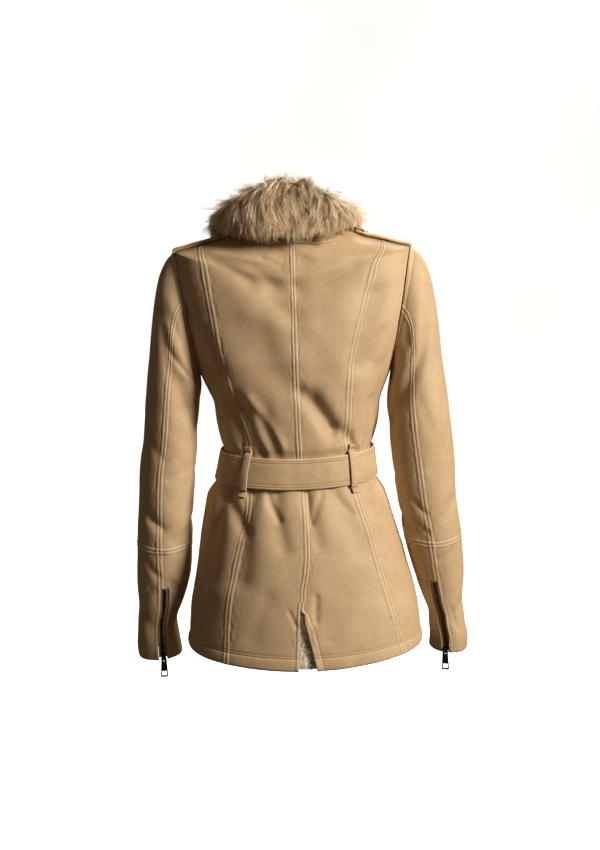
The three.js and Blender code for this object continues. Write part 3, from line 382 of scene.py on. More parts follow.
def back_angle(off, up):
    """The angle at which the body's ring at a height is some distance off the back's middle."""
    off, up = np.broadcast_arrays(np.asarray(off, float), np.asarray(up, float))
    low = np.where(off >= 0, 90.0, 180.0)
    high = low + 90
    for _ in range(40):
        middle = (low + high) / 2
        beyond = body_point(middle, up)[..., 0] > off
        low = np.where(beyond, middle, low)
        high = np.where(beyond, high, middle)
    return (low + high) / 2


SIDES = ("left", "right")
ARMHOLE_SHARE = 0.7
TOP_SCALE = 1000


def side_angle(side):
    return 90.0 if side == "left" else 270.0


def towards(side):
    return 1 if side == "left" else -1


def upper_row(share):
    return ARMPIT_UP + share * TOP_SCALE


def upper_share(row):
    return (row - ARMPIT_UP) / TOP_SCALE


def side_edge(row, bow, share):
    """The side seam and, above it, the armhole's edge, which bows to the front or back."""
    turn = math.pi * np.clip(share, 0, 1)
    middle = (ARMPIT_UP + SHOULDER_UP) / 2
    armhole_up = middle - (SHOULDER_UP - ARMPIT_UP) / 2 * np.cos(turn)
    angle = 90 + bow * ARMHOLE_HALF_ANGLE * np.sin(turn)
    return angle, np.where(row <= ARMPIT_UP, row, armhole_up)


def princess_edge(side, row, share):
    up = np.where(row <= ARMPIT_UP, row, lerp(ARMPIT_UP, PRINCESS_TOP_UP, np.clip(share, 0, 1)))
    off = np.minimum(princess[side](up), torso["half"](up)) * towards(side)
    return np.where(up >= PRINCESS_TOP_UP, side_angle(side), back_angle(off, up)), up


def mirrored(edge):
    """An edge of the wearer's left side, turned to the right."""

    def turned(row):
        angle, up = edge(row)
        return 360 - angle, up

    return turned


def body_up(row):
    return np.where(row <= ARMPIT_UP, row, lerp(ARMPIT_UP, NECK_UP, upper_share(row)))


def centre_back_edge(side):
    def edge(row):
        up = body_up(row)
        spread = VENT_SPREAD * np.clip(1 - up / VENT_UP, 0, 1) ** 0.9 if side == "right" else 0
        return back_angle(back_seam(up) - spread, up), up

    return edge


def centre_side_edge(side):
    def edge(row):
        share = upper_share(row)
        angle, up = princess_edge(side, row, share / ARMHOLE_SHARE)
        beyond = share > ARMHOLE_SHARE
        rest = (share - ARMHOLE_SHARE) / (1 - ARMHOLE_SHARE)
        return (
            np.where(beyond, side_angle(side), angle),
            np.where(beyond, lerp(PRINCESS_TOP_UP, NECK_UP, rest), up),
        )

    return edge


def armhole_back_edge(side):
    def left(row):
        return side_edge(row, 1, upper_share(row))

    return left if side == "left" else mirrored(left)


def back_side_edge(side):
    return lambda row: princess_edge(side, row, upper_share(row))


def front_outer_edge(row):
    share = upper_share(row)
    angle, up = side_edge(row, -1, share / ARMHOLE_SHARE)
    beyond = share > ARMHOLE_SHARE
    rest = (share - ARMHOLE_SHARE) / (1 - ARMHOLE_SHARE)
    return np.where(beyond, 90.0, angle), np.where(beyond, lerp(SHOULDER_UP, NECK_UP, rest), up)


def front_zip_edge(row):
    up = body_up(row)
    away = np.where(up < FRONT_ZIP_TOP_UP + 2, FRONT_ZIP_WIDTH / 2, 0)
    return np.degrees(away / torso["front"](up)), up


# Sleeve surface


def sleeve_oval(side, angle, along):
    inner_x = sleeve["inner_x"](along) + sleeve_lean[side + "_in"](along)
    outer_x = sleeve["outer_x"](along) + sleeve_lean[side + "_out"](along)
    inner_z, outer_z = sleeve["inner_z"](along), sleeve["outer_z"](along)
    cos = np.cos(np.radians(angle))
    x = (inner_x + outer_x) / 2 + (outer_x - inner_x) / 2 * cos
    z = (inner_z + outer_z) / 2 + (outer_z - inner_z) / 2 * cos
    y = sleeve["middle_y"](along) + sleeve["depth"](along) * np.sin(np.radians(angle))
    return np.stack(np.broadcast_arrays(x, y, z), -1)


def armhole_point(angle):
    middle = (ARMPIT_UP + SHOULDER_UP) / 2
    up = middle + (SHOULDER_UP - ARMPIT_UP) / 2 * np.cos(np.radians(angle))
    around = 90 + ARMHOLE_HALF_ANGLE * np.sin(np.radians(angle))
    return body_point(around, up) + body_out(around, up) * ARMHOLE_SEAT


def sleeve_point(side, angle, along):
    drawn = np.clip(1 - along / CAP_LENGTH, 0, 1) ** 2
    seat = armhole_point(angle) - sleeve_oval(side, angle, np.zeros_like(along))
    return sleeve_oval(side, angle, along) + seat * drawn[..., None]


def sleeve_place(side):
    """place(angle, along, out) on one sleeve. The elbow seam droops at the back."""

    def place(angle, along, out, creased=True):
        angle, along, out = np.broadcast_arrays(
            np.asarray(angle, float), np.asarray(along, float), np.asarray(out, float)
        )
        droop = 6 * np.clip(np.sin(np.radians(angle)), 0, 1) ** 3
        along = along + droop * np.exp(-(((along - ELBOW_SEAM) / 34) ** 2))
        normal = -out_of(
            lambda u, v: sleeve_point(side, u, v), angle, np.clip(along, 1, CUFF_END - 1), 1, 1
        )
        fade = np.clip(along / 40, 0, 1) * np.clip((CUFF_END - along) / 60, 0, 1)
        fold = pressed(SLEEVE_FOLDS, SLEEVE_FOLD_RADIUS, angle, along) * fade
        if creased:
            edge = np.clip(along / 15, 0, 1) * np.clip((CUFF_END - along) / 15, 0, 1)
            creases = pressed(SLEEVE_CREASES[side], SLEEVE_FOLD_RADIUS, angle, along)
            fold = fold + edge * CREASE_STRENGTH * creases
            # the noise is worked out on a circle, so that it closes round the sleeve
            x, y = (turn(np.radians(angle)) * SLEEVE_FOLD_RADIUS for turn in (np.cos, np.sin))
            fold = fold + 0.5 * edge * unevenness(x + along, y, 46, 5)
        point = sleeve_point(side, angle, along) + normal * (out - fold)[..., None]
        return point if side == "left" else point * np.array([-1, 1, 1])

    return place


def zip_angle(along):
    reach = (sleeve["outer_x"](along) - sleeve["inner_x"](along)) / 2
    return np.degrees(CUFF_ZIP_WIDTH / reach)


# Relief of the cloth's surface


def bump(distance, middle, half):
    """A smooth hump of height 1."""
    return np.exp(-(((distance - middle) / half) ** 2))


def seam_relief(distance):
    """A dip at the join, a raised band beside it, then the groove of its stitching."""
    rise = 0.75 * np.clip(distance / 1.8, 0, 1) ** 0.7 - 0.12
    fall = ease(np.clip((distance - SEAM_BAND + 1.6) / 2.8, 0, 1))
    return rise * (1 - fall) - 0.25 * bump(distance, STITCH_ROW, 1.2)


def hem_relief(height):
    """The puffed turned-up hem under its two rows of stitching, with a rounded lower edge."""
    inside = np.clip(height / HEM_TURNING, 0, 1)
    puff = 1.7 * np.sin(math.pi * inside ** 0.8) ** 0.55 * (height < HEM_TURNING)
    low, high = (bump(height, row, 1.1) for row in HEM_STITCHES)
    return puff - 0.85 * low - 0.6 * high - 3.4 * np.clip(1 - height / 4, 0, 1) ** 2


def ruled(start, end, rows, shares):
    """Places between two edges, at shares of the way across each row."""
    (u0, v0), (u1, v1) = start(rows), end(rows)
    return lerp(u0, u1, shares), lerp(v0, v1, shares)


def traced(place, out=0.0):
    """The line of points that place(out) gives, with the direction out of the cloth at each."""
    points = place(out)
    return points, unit(place(out + 1) - points)


EDGE_LINES = [0.25, 0.8, 1.5, 2.4, 3.4, 4.3, 5.0, 5.6, 6.2, 6.9, 7.8, 9.2, 11.5]
FACING_LINES = EDGE_LINES[:7] + [5.7, 6.4, 7.2, 8.2, 9.4, 10.6, 11.6, 12.4, 13.1, 13.8, 14.6, 16.5]


class Cloth:
    """A panel of cloth ruled between two edges, each an edge(row) -> (u, v)."""

    def __init__(self, place, start, end, deep, bands=(True, True), relief=None, trim=None):
        self.place, self.start, self.end, self.deep = place, start, end, deep
        self.bands, self.relief, self.trim = bands, relief, trim

    def across(self, rows, shares):
        return ruled(self.start, self.end, rows[:, None], shares)

    def widths(self, rows):
        """The width of the panel along each row, as a column."""
        points = self.place(*self.across(rows, np.linspace(0, 1, 9)[None, :]), 0.0, creased=False)
        return np.linalg.norm(np.diff(points, axis=1), axis=-1).sum(1)[:, None]

    def shares(self, rows, step, lines):
        """Shares of each row: close lines by the seams and even steps between them."""
        width = self.widths(rows)
        first, last = (
            np.array(near if band else [JOIN_GAP / 2])[None, :] * np.minimum(1, width / NARROW)
            for near, band in zip(lines, self.bands)
        )
        first[:, 0] = last[:, 0] = JOIN_GAP / 2
        count = max(3, int((width.max() - first.max() - last.max()) / step))
        inner = np.linspace(0, 1, count + 1)[None, 1:-1]
        between = lerp(first[:, -1:], width - last[:, -1:], inner)
        return np.concatenate([first, between, (width - last)[:, ::-1]], 1) / width

    def heights(self, u, v, shares, width):
        """How far the cloth rises at each place, and how far the place is from a seam."""
        scale = np.minimum(1, width / NARROW)
        from_start, from_end = (
            share * width / scale if band else np.full(shares.shape, 99.0)
            for share, band in zip((shares, 1 - shares), self.bands)
        )
        distance = np.minimum(from_start, from_end)
        height = seam_relief(distance) + (self.relief(v) if self.relief else 0)
        height = height + 0.35 * unevenness(v, distance * 2.0, 15, 11) * bump(distance, 8, 5)
        return self.trim(v, from_start, height, distance) if self.trim else (height, distance)

    def grid(self, rows, step, lines):
        """The outer and inner points, and how far each outer one is from a seam and in a crease."""
        shares = self.shares(rows, step, lines)
        u, v = self.across(rows, shares)
        heights, distance = self.heights(u, v, shares, self.widths(rows))
        picked = np.unique(np.append(np.arange(0, len(rows), 4), len(rows) - 1))
        gap = SEAM_GAP / 2 / self.widths(rows[picked])
        even = np.linspace(0, 1, max(3, shares.shape[1] // 4))[None, :]
        inner = self.place(*self.across(rows[picked], lerp(gap, 1 - gap, even)), WOOL_SINK - HIDE)
        return self.place(u, v, heights), inner, distance, self.deep(u, v)

    def thread_line(self, rows, shares, width):
        u, v = self.across(rows, shares)
        heights, _ = self.heights(u, v, shares, width)
        return traced(lambda out: self.place(u, v, heights + out).reshape(-1, 3), -THREAD_SINK)

    def seam_line(self, rows, distance, at_end=False):
        """A line of thread some distance from an edge."""
        width = self.widths(rows)
        share = distance * np.minimum(1, width / NARROW) / width
        return self.thread_line(rows, 1 - share if at_end else share, width)

    def row_line(self, row, low=0.0, high=1.0):
        """A line of thread across the panel along one row."""
        rows = np.array([float(row)])
        width = self.widths(rows)
        count = max(3, int(width.max() * (high - low) / 2.5))
        return self.thread_line(rows, np.linspace(low, high, count)[None, :], width)


# Meshes


def zip_lines(points, outer, inner, faces):
    """Fills the strip between two lines of points that start and end side by side."""
    i = j = 0
    while i < len(outer) - 1 or j < len(inner) - 1:
        by_outer = by_inner = math.inf
        if i < len(outer) - 1:
            by_outer = np.linalg.norm(points[outer[i + 1]] - points[inner[j]])
        if j < len(inner) - 1:
            by_inner = np.linalg.norm(points[outer[i]] - points[inner[j + 1]])
        if by_outer <= by_inner:
            faces.append((outer[i + 1], outer[i], inner[j]))
            i += 1
        else:
            faces.append((outer[i], inner[j], inner[j + 1]))
            j += 1


def grid_faces(numbers, turned=False):
    a, b = numbers[:-1, :-1].ravel(), numbers[:-1, 1:].ravel()
    c, d = numbers[1:, 1:].ravel(), numbers[1:, :-1].ravel()
    quads = np.stack([d, c, b, a] if turned else [a, b, c, d], -1)
    return quads.tolist()


def border(numbers):
    return [numbers[0], numbers[:, -1], numbers[-1, ::-1], numbers[::-1, 0]]


def add_object(name, mesh):
    obj = bpy.data.objects.new(name, mesh)
    bpy.context.scene.collection.objects.link(obj)
    return obj


def store(mesh, name, values):
    """Keeps a number or a vector for each point of a mesh."""
    values = np.asarray(values, np.float32)
    kind, field = ("FLOAT", "value") if values.ndim == 1 else ("FLOAT_VECTOR", "vector")
    mesh.attributes.new(name, kind, "POINT").data.foreach_set(field, values.ravel())


def new_mesh(name, points, faces, looks, face_looks=None, attributes=None):
    """A mesh object from points in millimetres, with smooth faces that point outwards."""
    mesh = bpy.data.meshes.new(name)
    mesh.from_pydata((np.asarray(points) * MM).tolist(), [], faces)
    for material in looks:
        mesh.materials.append(material)
    if face_looks is not None:
        mesh.polygons.foreach_set("material_index", np.asarray(face_looks, dtype=np.int32))
    for key, values in (attributes or {}).items():
        store(mesh, key, values)
    if signed_volume(mesh) < 0:
        mesh.flip_normals()
    mesh.shade_smooth()
    mesh.set_sharp_from_angle(angle=math.radians(50))
    return add_object(name, mesh)


def signed_volume(mesh):
    mesh.calc_loop_triangles()
    corners = np.empty(len(mesh.loop_triangles) * 3, dtype=np.int32)
    mesh.loop_triangles.foreach_get("vertices", corners)
    places = np.empty(len(mesh.vertices) * 3)
    mesh.vertices.foreach_get("co", places)
    a, b, c = places.reshape(-1, 3)[corners.reshape(-1, 3)].transpose(1, 0, 2)
    return float((a * np.cross(b, c)).sum())


def shell(name, outer, inner, looks, distance=None, depth=None):
    """A closed wall between an outer and an inner grid, which may be of different fineness."""
    numbers = np.arange(outer[..., 0].size).reshape(outer.shape[:2])
    under = np.arange(inner[..., 0].size).reshape(inner.shape[:2]) + numbers.size
    points = np.concatenate([outer.reshape(-1, 3), inner.reshape(-1, 3)])
    faces, back, rim = grid_faces(numbers), grid_faces(under, turned=True), []
    for a, b in zip(border(numbers), border(under)):
        zip_lines(points, a, b, rim)
    looks_of = [0] * len(faces) + [1] * len(back) + [0] * len(rim)
    # seam and crease carry where the hide gets its painted shade: in joins, stitch grooves and
    # creases; seam also places its paler, worn bands
    seam, crease = np.ones(len(points)), np.zeros(len(points))
    if distance is not None:
        seam[: numbers.size] = np.clip(distance.ravel() / SEAM_REACH, 0, 1)
    if depth is not None:
        crease[: numbers.size] = depth.ravel()
    attributes = {"seam": seam, "crease": crease}
    return new_mesh(name, points, faces + back + rim, looks, looks_of, attributes)


def tube(name, sections, looks, attributes=None):
    """A closed tube of equal sections, capped at both ends."""
    rows, count = sections.shape[:2]
    numbers = np.arange(rows * count).reshape(rows, count)
    closed = np.concatenate([numbers, numbers[:, :1]], 1)
    points = np.concatenate([sections.reshape(-1, 3), [sections[0].mean(0), sections[-1].mean(0)]])
    faces = grid_faces(closed)
    faces += [(rows * count, int(b), int(a)) for a, b in zip(closed[0, :-1], closed[0, 1:])]
    faces += [(rows * count + 1, int(a), int(b)) for a, b in zip(closed[-1, :-1], closed[-1, 1:])]
    return new_mesh(name, points, faces, looks, attributes=attributes)


# Geometry node trees


def fill(tree, made, inputs):
    """Gives the named inputs of a node their values or links."""
    for key, value in inputs.items():
        if isinstance(value, bpy.types.NodeSocket):
            tree.links.new(value, made.inputs[key])
        else:
            made.inputs[key].default_value = value


def node(tree, kind, inputs=None, **settings):
    """Adds a node with its settings, and with a value or a link for each named input."""
    made = tree.nodes.new(kind)
    for key, value in settings.items():
        setattr(made, key, value)
    fill(tree, made, inputs or {})
    return made


def new_tree(name, inputs):
    """A geometry node tree with a geometry in and out, and the named inputs."""
    tree = bpy.data.node_groups.new(name, "GeometryNodeTree")
    tree.interface.new_socket("Geometry", in_out="INPUT", socket_type="NodeSocketGeometry")
    tree.interface.new_socket("Geometry", in_out="OUTPUT", socket_type="NodeSocketGeometry")
    for label, kind, default in inputs:
        socket = tree.interface.new_socket(label, in_out="INPUT", socket_type="NodeSocket" + kind)
        if default is not None:
            socket.default_value = default
    return tree, node(tree, "NodeGroupInput").outputs


def close_tree(tree, geometry, material):
    """Ends a tree: real geometry with its material."""
    real = node(tree, "GeometryNodeRealizeInstances", {"Geometry": geometry})
    inputs = {"Geometry": real.outputs[0], "Material": material}
    looks = node(tree, "GeometryNodeSetMaterial", inputs)
    node(tree, "NodeGroupOutput", {"Geometry": looks.outputs[0]})
    return tree


def carried(tree, name, kind="FLOAT"):
    """What each point of the source carries under a name."""
    return node(tree, "GeometryNodeInputNamedAttribute", {"Name": name}, data_type=kind).outputs[0]


def turned_to(tree, first, second, axes):
    """The turn that sets two axes, such as "XZ", along two directions."""
    inputs = {"Primary Axis": first, "Secondary Axis": second}
    return node(
        tree, "FunctionNodeAxesToRotation", inputs, primary_axis=axes[0], secondary_axis=axes[1]
    ).outputs[0]


def rows_along(tree, group, instance, size):
    """Instances at even points along lines, with X along the line and Z out of the cloth."""
    line = node(tree, "GeometryNodeMeshToCurve", {"Mesh": group["Geometry"]})
    even = node(tree, "GeometryNodeResampleCurve", {
        "Curve": line.outputs[0], "Length": group["Pitch"],
    }, mode="LENGTH")
    tangent = node(tree, "GeometryNodeInputTangent").outputs[0]
    turn = turned_to(tree, carried(tree, "out", "FLOAT_VECTOR"), tangent, "ZX")
    sides = dict(zip("XYZ", (group[name] for name in size)))
    scale = node(tree, "ShaderNodeCombineXYZ", sides).outputs[0]
    return node(tree, "GeometryNodeInstanceOnPoints", {
        "Points": even.outputs[0], "Instance": instance, "Rotation": turn, "Scale": scale,
    }).outputs[0]


def stitch_tree():
    """A row of sunk thread stitches along each line."""
    tree, group = new_tree("coat_stitches", [
        ("Pitch", "Float", 0.0036), ("Stitch length", "Float", 0.0029),
        ("Thread width", "Float", 0.0009), ("Material", "Material", None),
    ])
    ball = node(tree, "GeometryNodeMeshIcoSphere", {"Radius": 0.5, "Subdivisions": 1})
    size = ("Stitch length", "Thread width", "Thread width")
    rows = rows_along(tree, group, ball.outputs[0], size)
    smooth = node(tree, "GeometryNodeSetShadeSmooth", {"Geometry": rows})
    return close_tree(tree, smooth.outputs[0], group["Material"])


def teeth_tree():
    """A row of zip teeth along each line, each a bar with a bead on its end."""
    tree, group = new_tree("coat_zip_teeth", [
        ("Pitch", "Float", 0.0026), ("Tooth width", "Float", 0.0013),
        ("Tooth reach", "Float", 0.0026), ("Tooth height", "Float", 0.0016),
        ("Material", "Material", None),
    ])
    both = node(tree, "GeometryNodeJoinGeometry")
    for part in (
        node(tree, "GeometryNodeMeshCube", {"Size": (1, 1, 1)}),
        node(tree, "GeometryNodeMeshIcoSphere", {"Radius": 0.62, "Subdivisions": 1}),
    ):
        tree.links.new(part.outputs[0], both.inputs[0])
    size = ("Tooth width", "Tooth reach", "Tooth height")
    rows = rows_along(tree, group, both.outputs[0], size)
    return close_tree(tree, rows, group["Material"])


def locks_tree():
    """Locks of hair scattered over a surface, each combed along the surface's own direction."""
    tree, group = new_tree("coat_locks", [
        ("Locks", "Collection", None), ("Kinds", "Int", 5), ("Density", "Float", 50000.0),
        ("Straying", "Float", 0.3), ("Lift", "Float", 0.2), ("Seed", "Int", 1),
        ("Material", "Material", None),
    ])

    def scaled(vector, scale):
        inputs = {0: vector, "Scale": scale}
        return node(tree, "ShaderNodeVectorMath", inputs, operation="SCALE").outputs[0]

    def added(a, b):
        return node(tree, "ShaderNodeVectorMath", {0: a, 1: b}, operation="ADD").outputs[0]

    def random(kind, inputs):
        return node(tree, "FunctionNodeRandomValue", inputs, data_type=kind).outputs

    scatter = node(tree, "GeometryNodeDistributePointsOnFaces", {
        "Mesh": group["Geometry"], "Density": group["Density"], "Seed": group["Seed"],
    }, distribute_method="RANDOM")
    normal = scatter.outputs["Normal"]
    stray = random("FLOAT_VECTOR", {0: (-1, -1, -1), 1: (1, 1, 1), 8: 21})[0]
    lean = added(carried(tree, "comb", "FLOAT_VECTOR"), scaled(stray, group["Straying"]))
    turn = turned_to(tree, added(lean, scaled(normal, group["Lift"])), normal, "XZ")
    most = node(tree, "ShaderNodeMath", {0: group["Kinds"], 1: 1.0}, operation="SUBTRACT")
    kind = random("INT", {4: 0, 5: most.outputs[0], 8: 5})[2]
    varied = random("FLOAT", {2: 0.72, 3: 1.22, 8: 9})[1]
    reach = carried(tree, "reach")
    size = node(tree, "ShaderNodeMath", {0: reach, 1: varied}, operation="MULTIPLY")
    locks = node(tree, "GeometryNodeCollectionInfo", {
        "Collection": group["Locks"], "Separate Children": True, "Reset Children": True,
    })
    placed = node(tree, "GeometryNodeInstanceOnPoints", {
        "Points": scatter.outputs["Points"], "Instance": locks.outputs[0], "Pick Instance": True,
        "Instance Index": kind, "Rotation": turn, "Scale": size.outputs[0],
    })
    tone = random("FLOAT", {2: 0.0, 3: 1.0, 8: 33})[1]
    toned = node(tree, "GeometryNodeStoreNamedAttribute", {
        "Geometry": placed.outputs[0], "Name": "tone", "Value": tone,
    }, domain="INSTANCE", data_type="FLOAT")
    return close_tree(tree, toned.outputs[0], group["Material"])


def grown(name, source, tree, values):
    """The result of a tree on a source object, as a plain mesh object. The source goes."""
    modifier = source.modifiers.new("grown", "NODES")
    modifier.node_group = tree
    for item in tree.interface.items_tree:
        if item.in_out == "INPUT" and item.name in values:
            modifier[item.identifier] = values[item.name]
    depsgraph = bpy.context.evaluated_depsgraph_get()
    mesh = bpy.data.meshes.new_from_object(
        source.evaluated_get(depsgraph), preserve_all_data_layers=True, depsgraph=depsgraph
    )
    mesh.name = name
    if not mesh.polygons:
        raise RuntimeError(name + " came out empty")
    bpy.data.objects.remove(source)
    return add_object(name, mesh)


def line_object(name, lines):
    """An object of loose edges from lines of points and outward directions."""
    points, outs, edges = [], [], []
    for line, out in lines:
        first = sum(len(part) for part in points)
        points.append(line)
        outs.append(out)
        edges += [(first + i, first + i + 1) for i in range(len(line) - 1)]
    mesh = bpy.data.meshes.new(name)
    mesh.from_pydata((np.concatenate(points) * MM).tolist(), edges, [])
    store(mesh, "out", np.concatenate(outs))
    return add_object(name, mesh)


def scatter_object(name, points, combs, reaches):
    """A grid surface for locks, with the direction they are combed and how far they reach."""
    numbers = np.arange(points[..., 0].size).reshape(points.shape[:2])
    mesh = bpy.data.meshes.new(name)
    mesh.from_pydata((points.reshape(-1, 3) * MM).tolist(), [], grid_faces(numbers))
    store(mesh, "comb", combs.reshape(-1, 3))
    store(mesh, "reach", (reaches * MM).ravel())
    return add_object(name, mesh)


def hair_lock(name, seed, hairs, spread, rise, wave, thick):
    """A lock of hairs of length 1 along X, from roots in a patch to tips that meet."""
    dice = np.random.default_rng(seed)
    points, faces, alongs = [], [], []
    tip_y, tip_z = dice.uniform(-0.14, 0.14), dice.uniform(-0.36, -0.16)
    shares = np.array([0, 0.36, 0.7, 1.0])
    for _ in range(hairs):
        root = dice.uniform(-spread, spread, 2)
        length = dice.uniform(0.68, 1.08)
        bow = dice.uniform(0.7, 1.2) * rise
        sway = dice.uniform(-0.5, 0.5) * wave
        end = np.array([tip_y + dice.uniform(-0.07, 0.07), tip_z + dice.uniform(-0.05, 0.05)])
        first = len(points)
        for i, share in enumerate(shares):
            middle = np.array([
                root[0] + share * length,
                lerp(root[1], end[0], share ** 1.3) + sway * math.sin(math.pi * 2 * share),
                lerp(-0.05, end[1], share) + bow * math.sin(math.pi * share ** 0.8),
            ])
            if i == 3:
                points.append(middle)
                alongs.append(1.0)
                continue
            radius = thick * (1, 0.9, 0.6)[i]
            for corner in range(3):
                turn = corner * math.tau / 3 + math.pi / 2
                points.append(middle + radius * np.array([0, math.cos(turn), math.sin(turn) * 0.7]))
                alongs.append(float(share))
        faces.append((first, first + 1, first + 2))
        for i in range(2):
            for corner in range(3):
                a, b = first + 3 * i + corner, first + 3 * i + (corner + 1) % 3
                faces.append((b, a, a + 3, b + 3))
        for corner in range(3):
            faces.append((first + 6 + (corner + 1) % 3, first + 6 + corner, first + 9))
    mesh = bpy.data.meshes.new(name)
    mesh.from_pydata([tuple(point) for point in points], [], faces)
    store(mesh, "along", alongs)
    if signed_volume(mesh) < 0:
        mesh.flip_normals()
    mesh.shade_smooth()
    return bpy.data.objects.new(name, mesh)


def lock_collection(name, kinds, **shape):
    """A collection of differing locks. It is removed once the hair has grown."""
    group = bpy.data.collections.new(name)
    for kind in range(kinds):
        group.objects.link(hair_lock(f"{name}_{kind}", 40 + kind, **shape))
    bpy.context.scene.collection.children.link(group)
    return group


def drop_collection(group):
    for obj in list(group.objects):
        bpy.data.objects.remove(obj)
    bpy.data.collections.remove(group)


# Materials


def linear(colour):
    """An sRGB hex colour as linear red, green, blue and alpha."""
    parts = [int(colour[i : i + 2], 16) / 255 for i in (1, 3, 5)]
    return (*[c / 12.92 if c <= 0.04045 else ((c + 0.055) / 1.055) ** 2.4 for c in parts], 1.0)


def paint(colour):
    """A hex value or a colour setting as linear red, green, blue and alpha."""
    return linear(colour) if isinstance(colour, str) else (*colour, 1.0)


def per_mm(size):
    """The scale of a noise on object coordinates whose features are this many millimetres."""
    return 1000.0 / size


def new_material(name):
    """A new material with its shader, and the place on the object that its patterns follow."""
    material = bpy.data.materials.new(name)
    material.use_nodes = True
    tree = material.node_tree
    tree.nodes.clear()
    shader = node(tree, "ShaderNodeBsdfPrincipled")
    node(tree, "ShaderNodeOutputMaterial", {"Surface": shader.outputs[0]})
    return material, shader, node(tree, "ShaderNodeTexCoord").outputs["Object"]


def ramp(tree, factor, stops):
    """A colour ramp through (position, hex colour) stops."""
    made = node(tree, "ShaderNodeValToRGB", {"Fac": factor})
    elements = made.color_ramp.elements
    while len(elements) < len(stops):
        elements.new(0.5)
    for element, (position, colour) in zip(elements, stops):
        element.position = position
        element.color = paint(colour)
    return made.outputs["Color"]


def layered(tree, colour, *layers):
    """A colour multiplied by layers, each a strength with a link or a hex colour."""
    for strength, layer in layers:
        layer = layer if isinstance(layer, bpy.types.NodeSocket) else paint(layer)
        made = node(tree, "ShaderNodeMix", {
            0: strength, 6: colour, 7: layer,
        }, data_type="RGBA", blend_type="MULTIPLY")
        colour = made.outputs[2]
    return colour


def own(tree, name):
    """A number that each point of the mesh carries."""
    return node(tree, "ShaderNodeAttribute", attribute_name=name).outputs["Fac"]


def spread(tree, value, low, high, first=0.0):
    """A value from first to 1, spread over low to high."""
    return node(tree, "ShaderNodeMapRange", {
        "Value": value, "From Min": first, "From Max": 1.0, "To Min": low, "To Max": high,
    }).outputs[0]


def relief(tree, height, strength, distance, **more):
    """Fine relief for a shader, of some depth in metres."""
    inputs = {"Height": height, "Strength": strength, "Distance": distance, **more}
    return node(tree, "ShaderNodeBump", inputs).outputs[0]


def noise(tree, place, size, detail=3.0, roughness=0.55):
    """Noise with features of a size in millimetres."""
    return node(tree, "ShaderNodeTexNoise", {
        "Vector": place, "Scale": per_mm(size), "Detail": detail, "Roughness": roughness,
    }).outputs["Fac"]


# Each of these gives the inputs of the shader of one real material or finish.


def sheepskin(tree, place, settings):
    """Sheepskin dyed tan, napped and pressed smooth. The eye gets a soft matt glow, cloudy dye,
    a fine grain, painted shade in the joins, the stitched grooves and the creases, and paler
    ridges beside the seams, worn by rubbing."""
    clouds, mottle = noise(tree, place, 70, 3.0, 0.5), noise(tree, place, 9, 4.0, 0.6)
    grain = noise(tree, place, 1.5, 3.0, 0.6)
    dye = ramp(tree, clouds, [(0.3, settings.deep), (0.5, settings.hide), (0.72, settings.pale)])
    specks = ramp(tree, mottle, [(0.3, "#ECE4DA"), (0.55, "#FBF9F6"), (0.8, "#FFFFFF")])
    nap = ramp(tree, grain, [(0.25, "#DDD3C6"), (0.6, "#FFFFFF")])
    # painted shade: the joins and the grooves of the stitching are darker, standing for the shade
    # in them; the raised bands beside the seams are paler, worn by rubbing
    rubbed_and_shaded = ramp(tree, own(tree, "seam"), [
        (0.0, "#B8A284"), (0.03, "#FFFFFF"), (0.155, "#FFFFFF"), (0.2, "#E2D6C5"),
        (0.24, "#EFE9DF"), (0.36, "#EEE7DC"), (0.9, "#EEE7DC"),
    ])
    # painted shade: the deeper a place lies in a fold or crease, the more the hide is darkened
    # towards #A88A66
    crease_shade = spread(tree, own(tree, "crease"), 0.0, 0.25, first=0.1)
    pores = node(tree, "ShaderNodeTexVoronoi", {"Vector": place, "Scale": per_mm(2.2)})
    skin = node(tree, "ShaderNodeMath", {0: grain, 1: pores.outputs["Distance"]}, operation="ADD")
    wrinkles = relief(tree, noise(tree, place, 7, 3.0, 0.55), 0.2, 0.0012)
    layers = (0.45, specks), (0.42, nap), (0.8, rubbed_and_shaded), (crease_shade, "#A88A66")
    return {
        "Base Color": layered(tree, dye, *layers),
        "Roughness": spread(tree, mottle, 0.52, 0.72),
        "Normal": relief(tree, skin.outputs[0], 0.3, 0.0004, Normal=wrinkles),
        "Specular IOR Level": 0.32, "Sheen Weight": 0.18, "Sheen Roughness": 0.45,
        "Sheen Tint": linear("#F3DDBA"),
    }


def shorn_wool(tree, place, settings):
    """The shorn wool side of the sheepskin: matt, cream grey and curly, with painted shade between
    its curls.
    """
    curls, tufts = noise(tree, place, 6, 4.0, 0.65), noise(tree, place, 22, 2.0, 0.5)
    # painted shade: the hollows between the curls, where the bump sinks, are darkened towards
    # #AA9C88
    wool = ramp(tree, curls, [(0.3, "#AA9C88"), (0.48, settings.wool), (0.7, "#F6F0E4")])
    shade = ramp(tree, tufts, [(0.3, "#C9BCA8"), (0.65, "#FFFFFF")])
    return {
        "Base Color": layered(tree, wool, (0.7, shade)), "Normal": relief(tree, curls, 0.8, 0.003),
        "Roughness": 0.95, "Specular IOR Level": 0.15, "Sheen Weight": 0.4,
    }


def hair(tree, place, root, middle, tip, roughness):
    """Fine hair. The eye gets darker roots, sun-paled tips, locks that differ in tone and a
    warm silky glow at the edges."""
    base = ramp(tree, own(tree, "along"), [(0.0, root), (0.34, middle), (0.95, tip)])
    tones = [(0.0, "#E4D6C2"), (0.4, "#F7F2EA"), (1.0, "#FFFFFF")]
    differing = ramp(tree, own(tree, "tone"), tones)
    parting = ramp(tree, noise(tree, place, 24, 3.0, 0.6), [(0.3, "#E2D2BC"), (0.6, "#FFFFFF")])
    return {
        "Base Color": layered(tree, base, (0.75, differing), (0.6, parting)),
        "Roughness": roughness, "Specular IOR Level": 0.35, "Sheen Weight": 0.25,
        "Sheen Tint": linear("#FFEBCB"),
    }


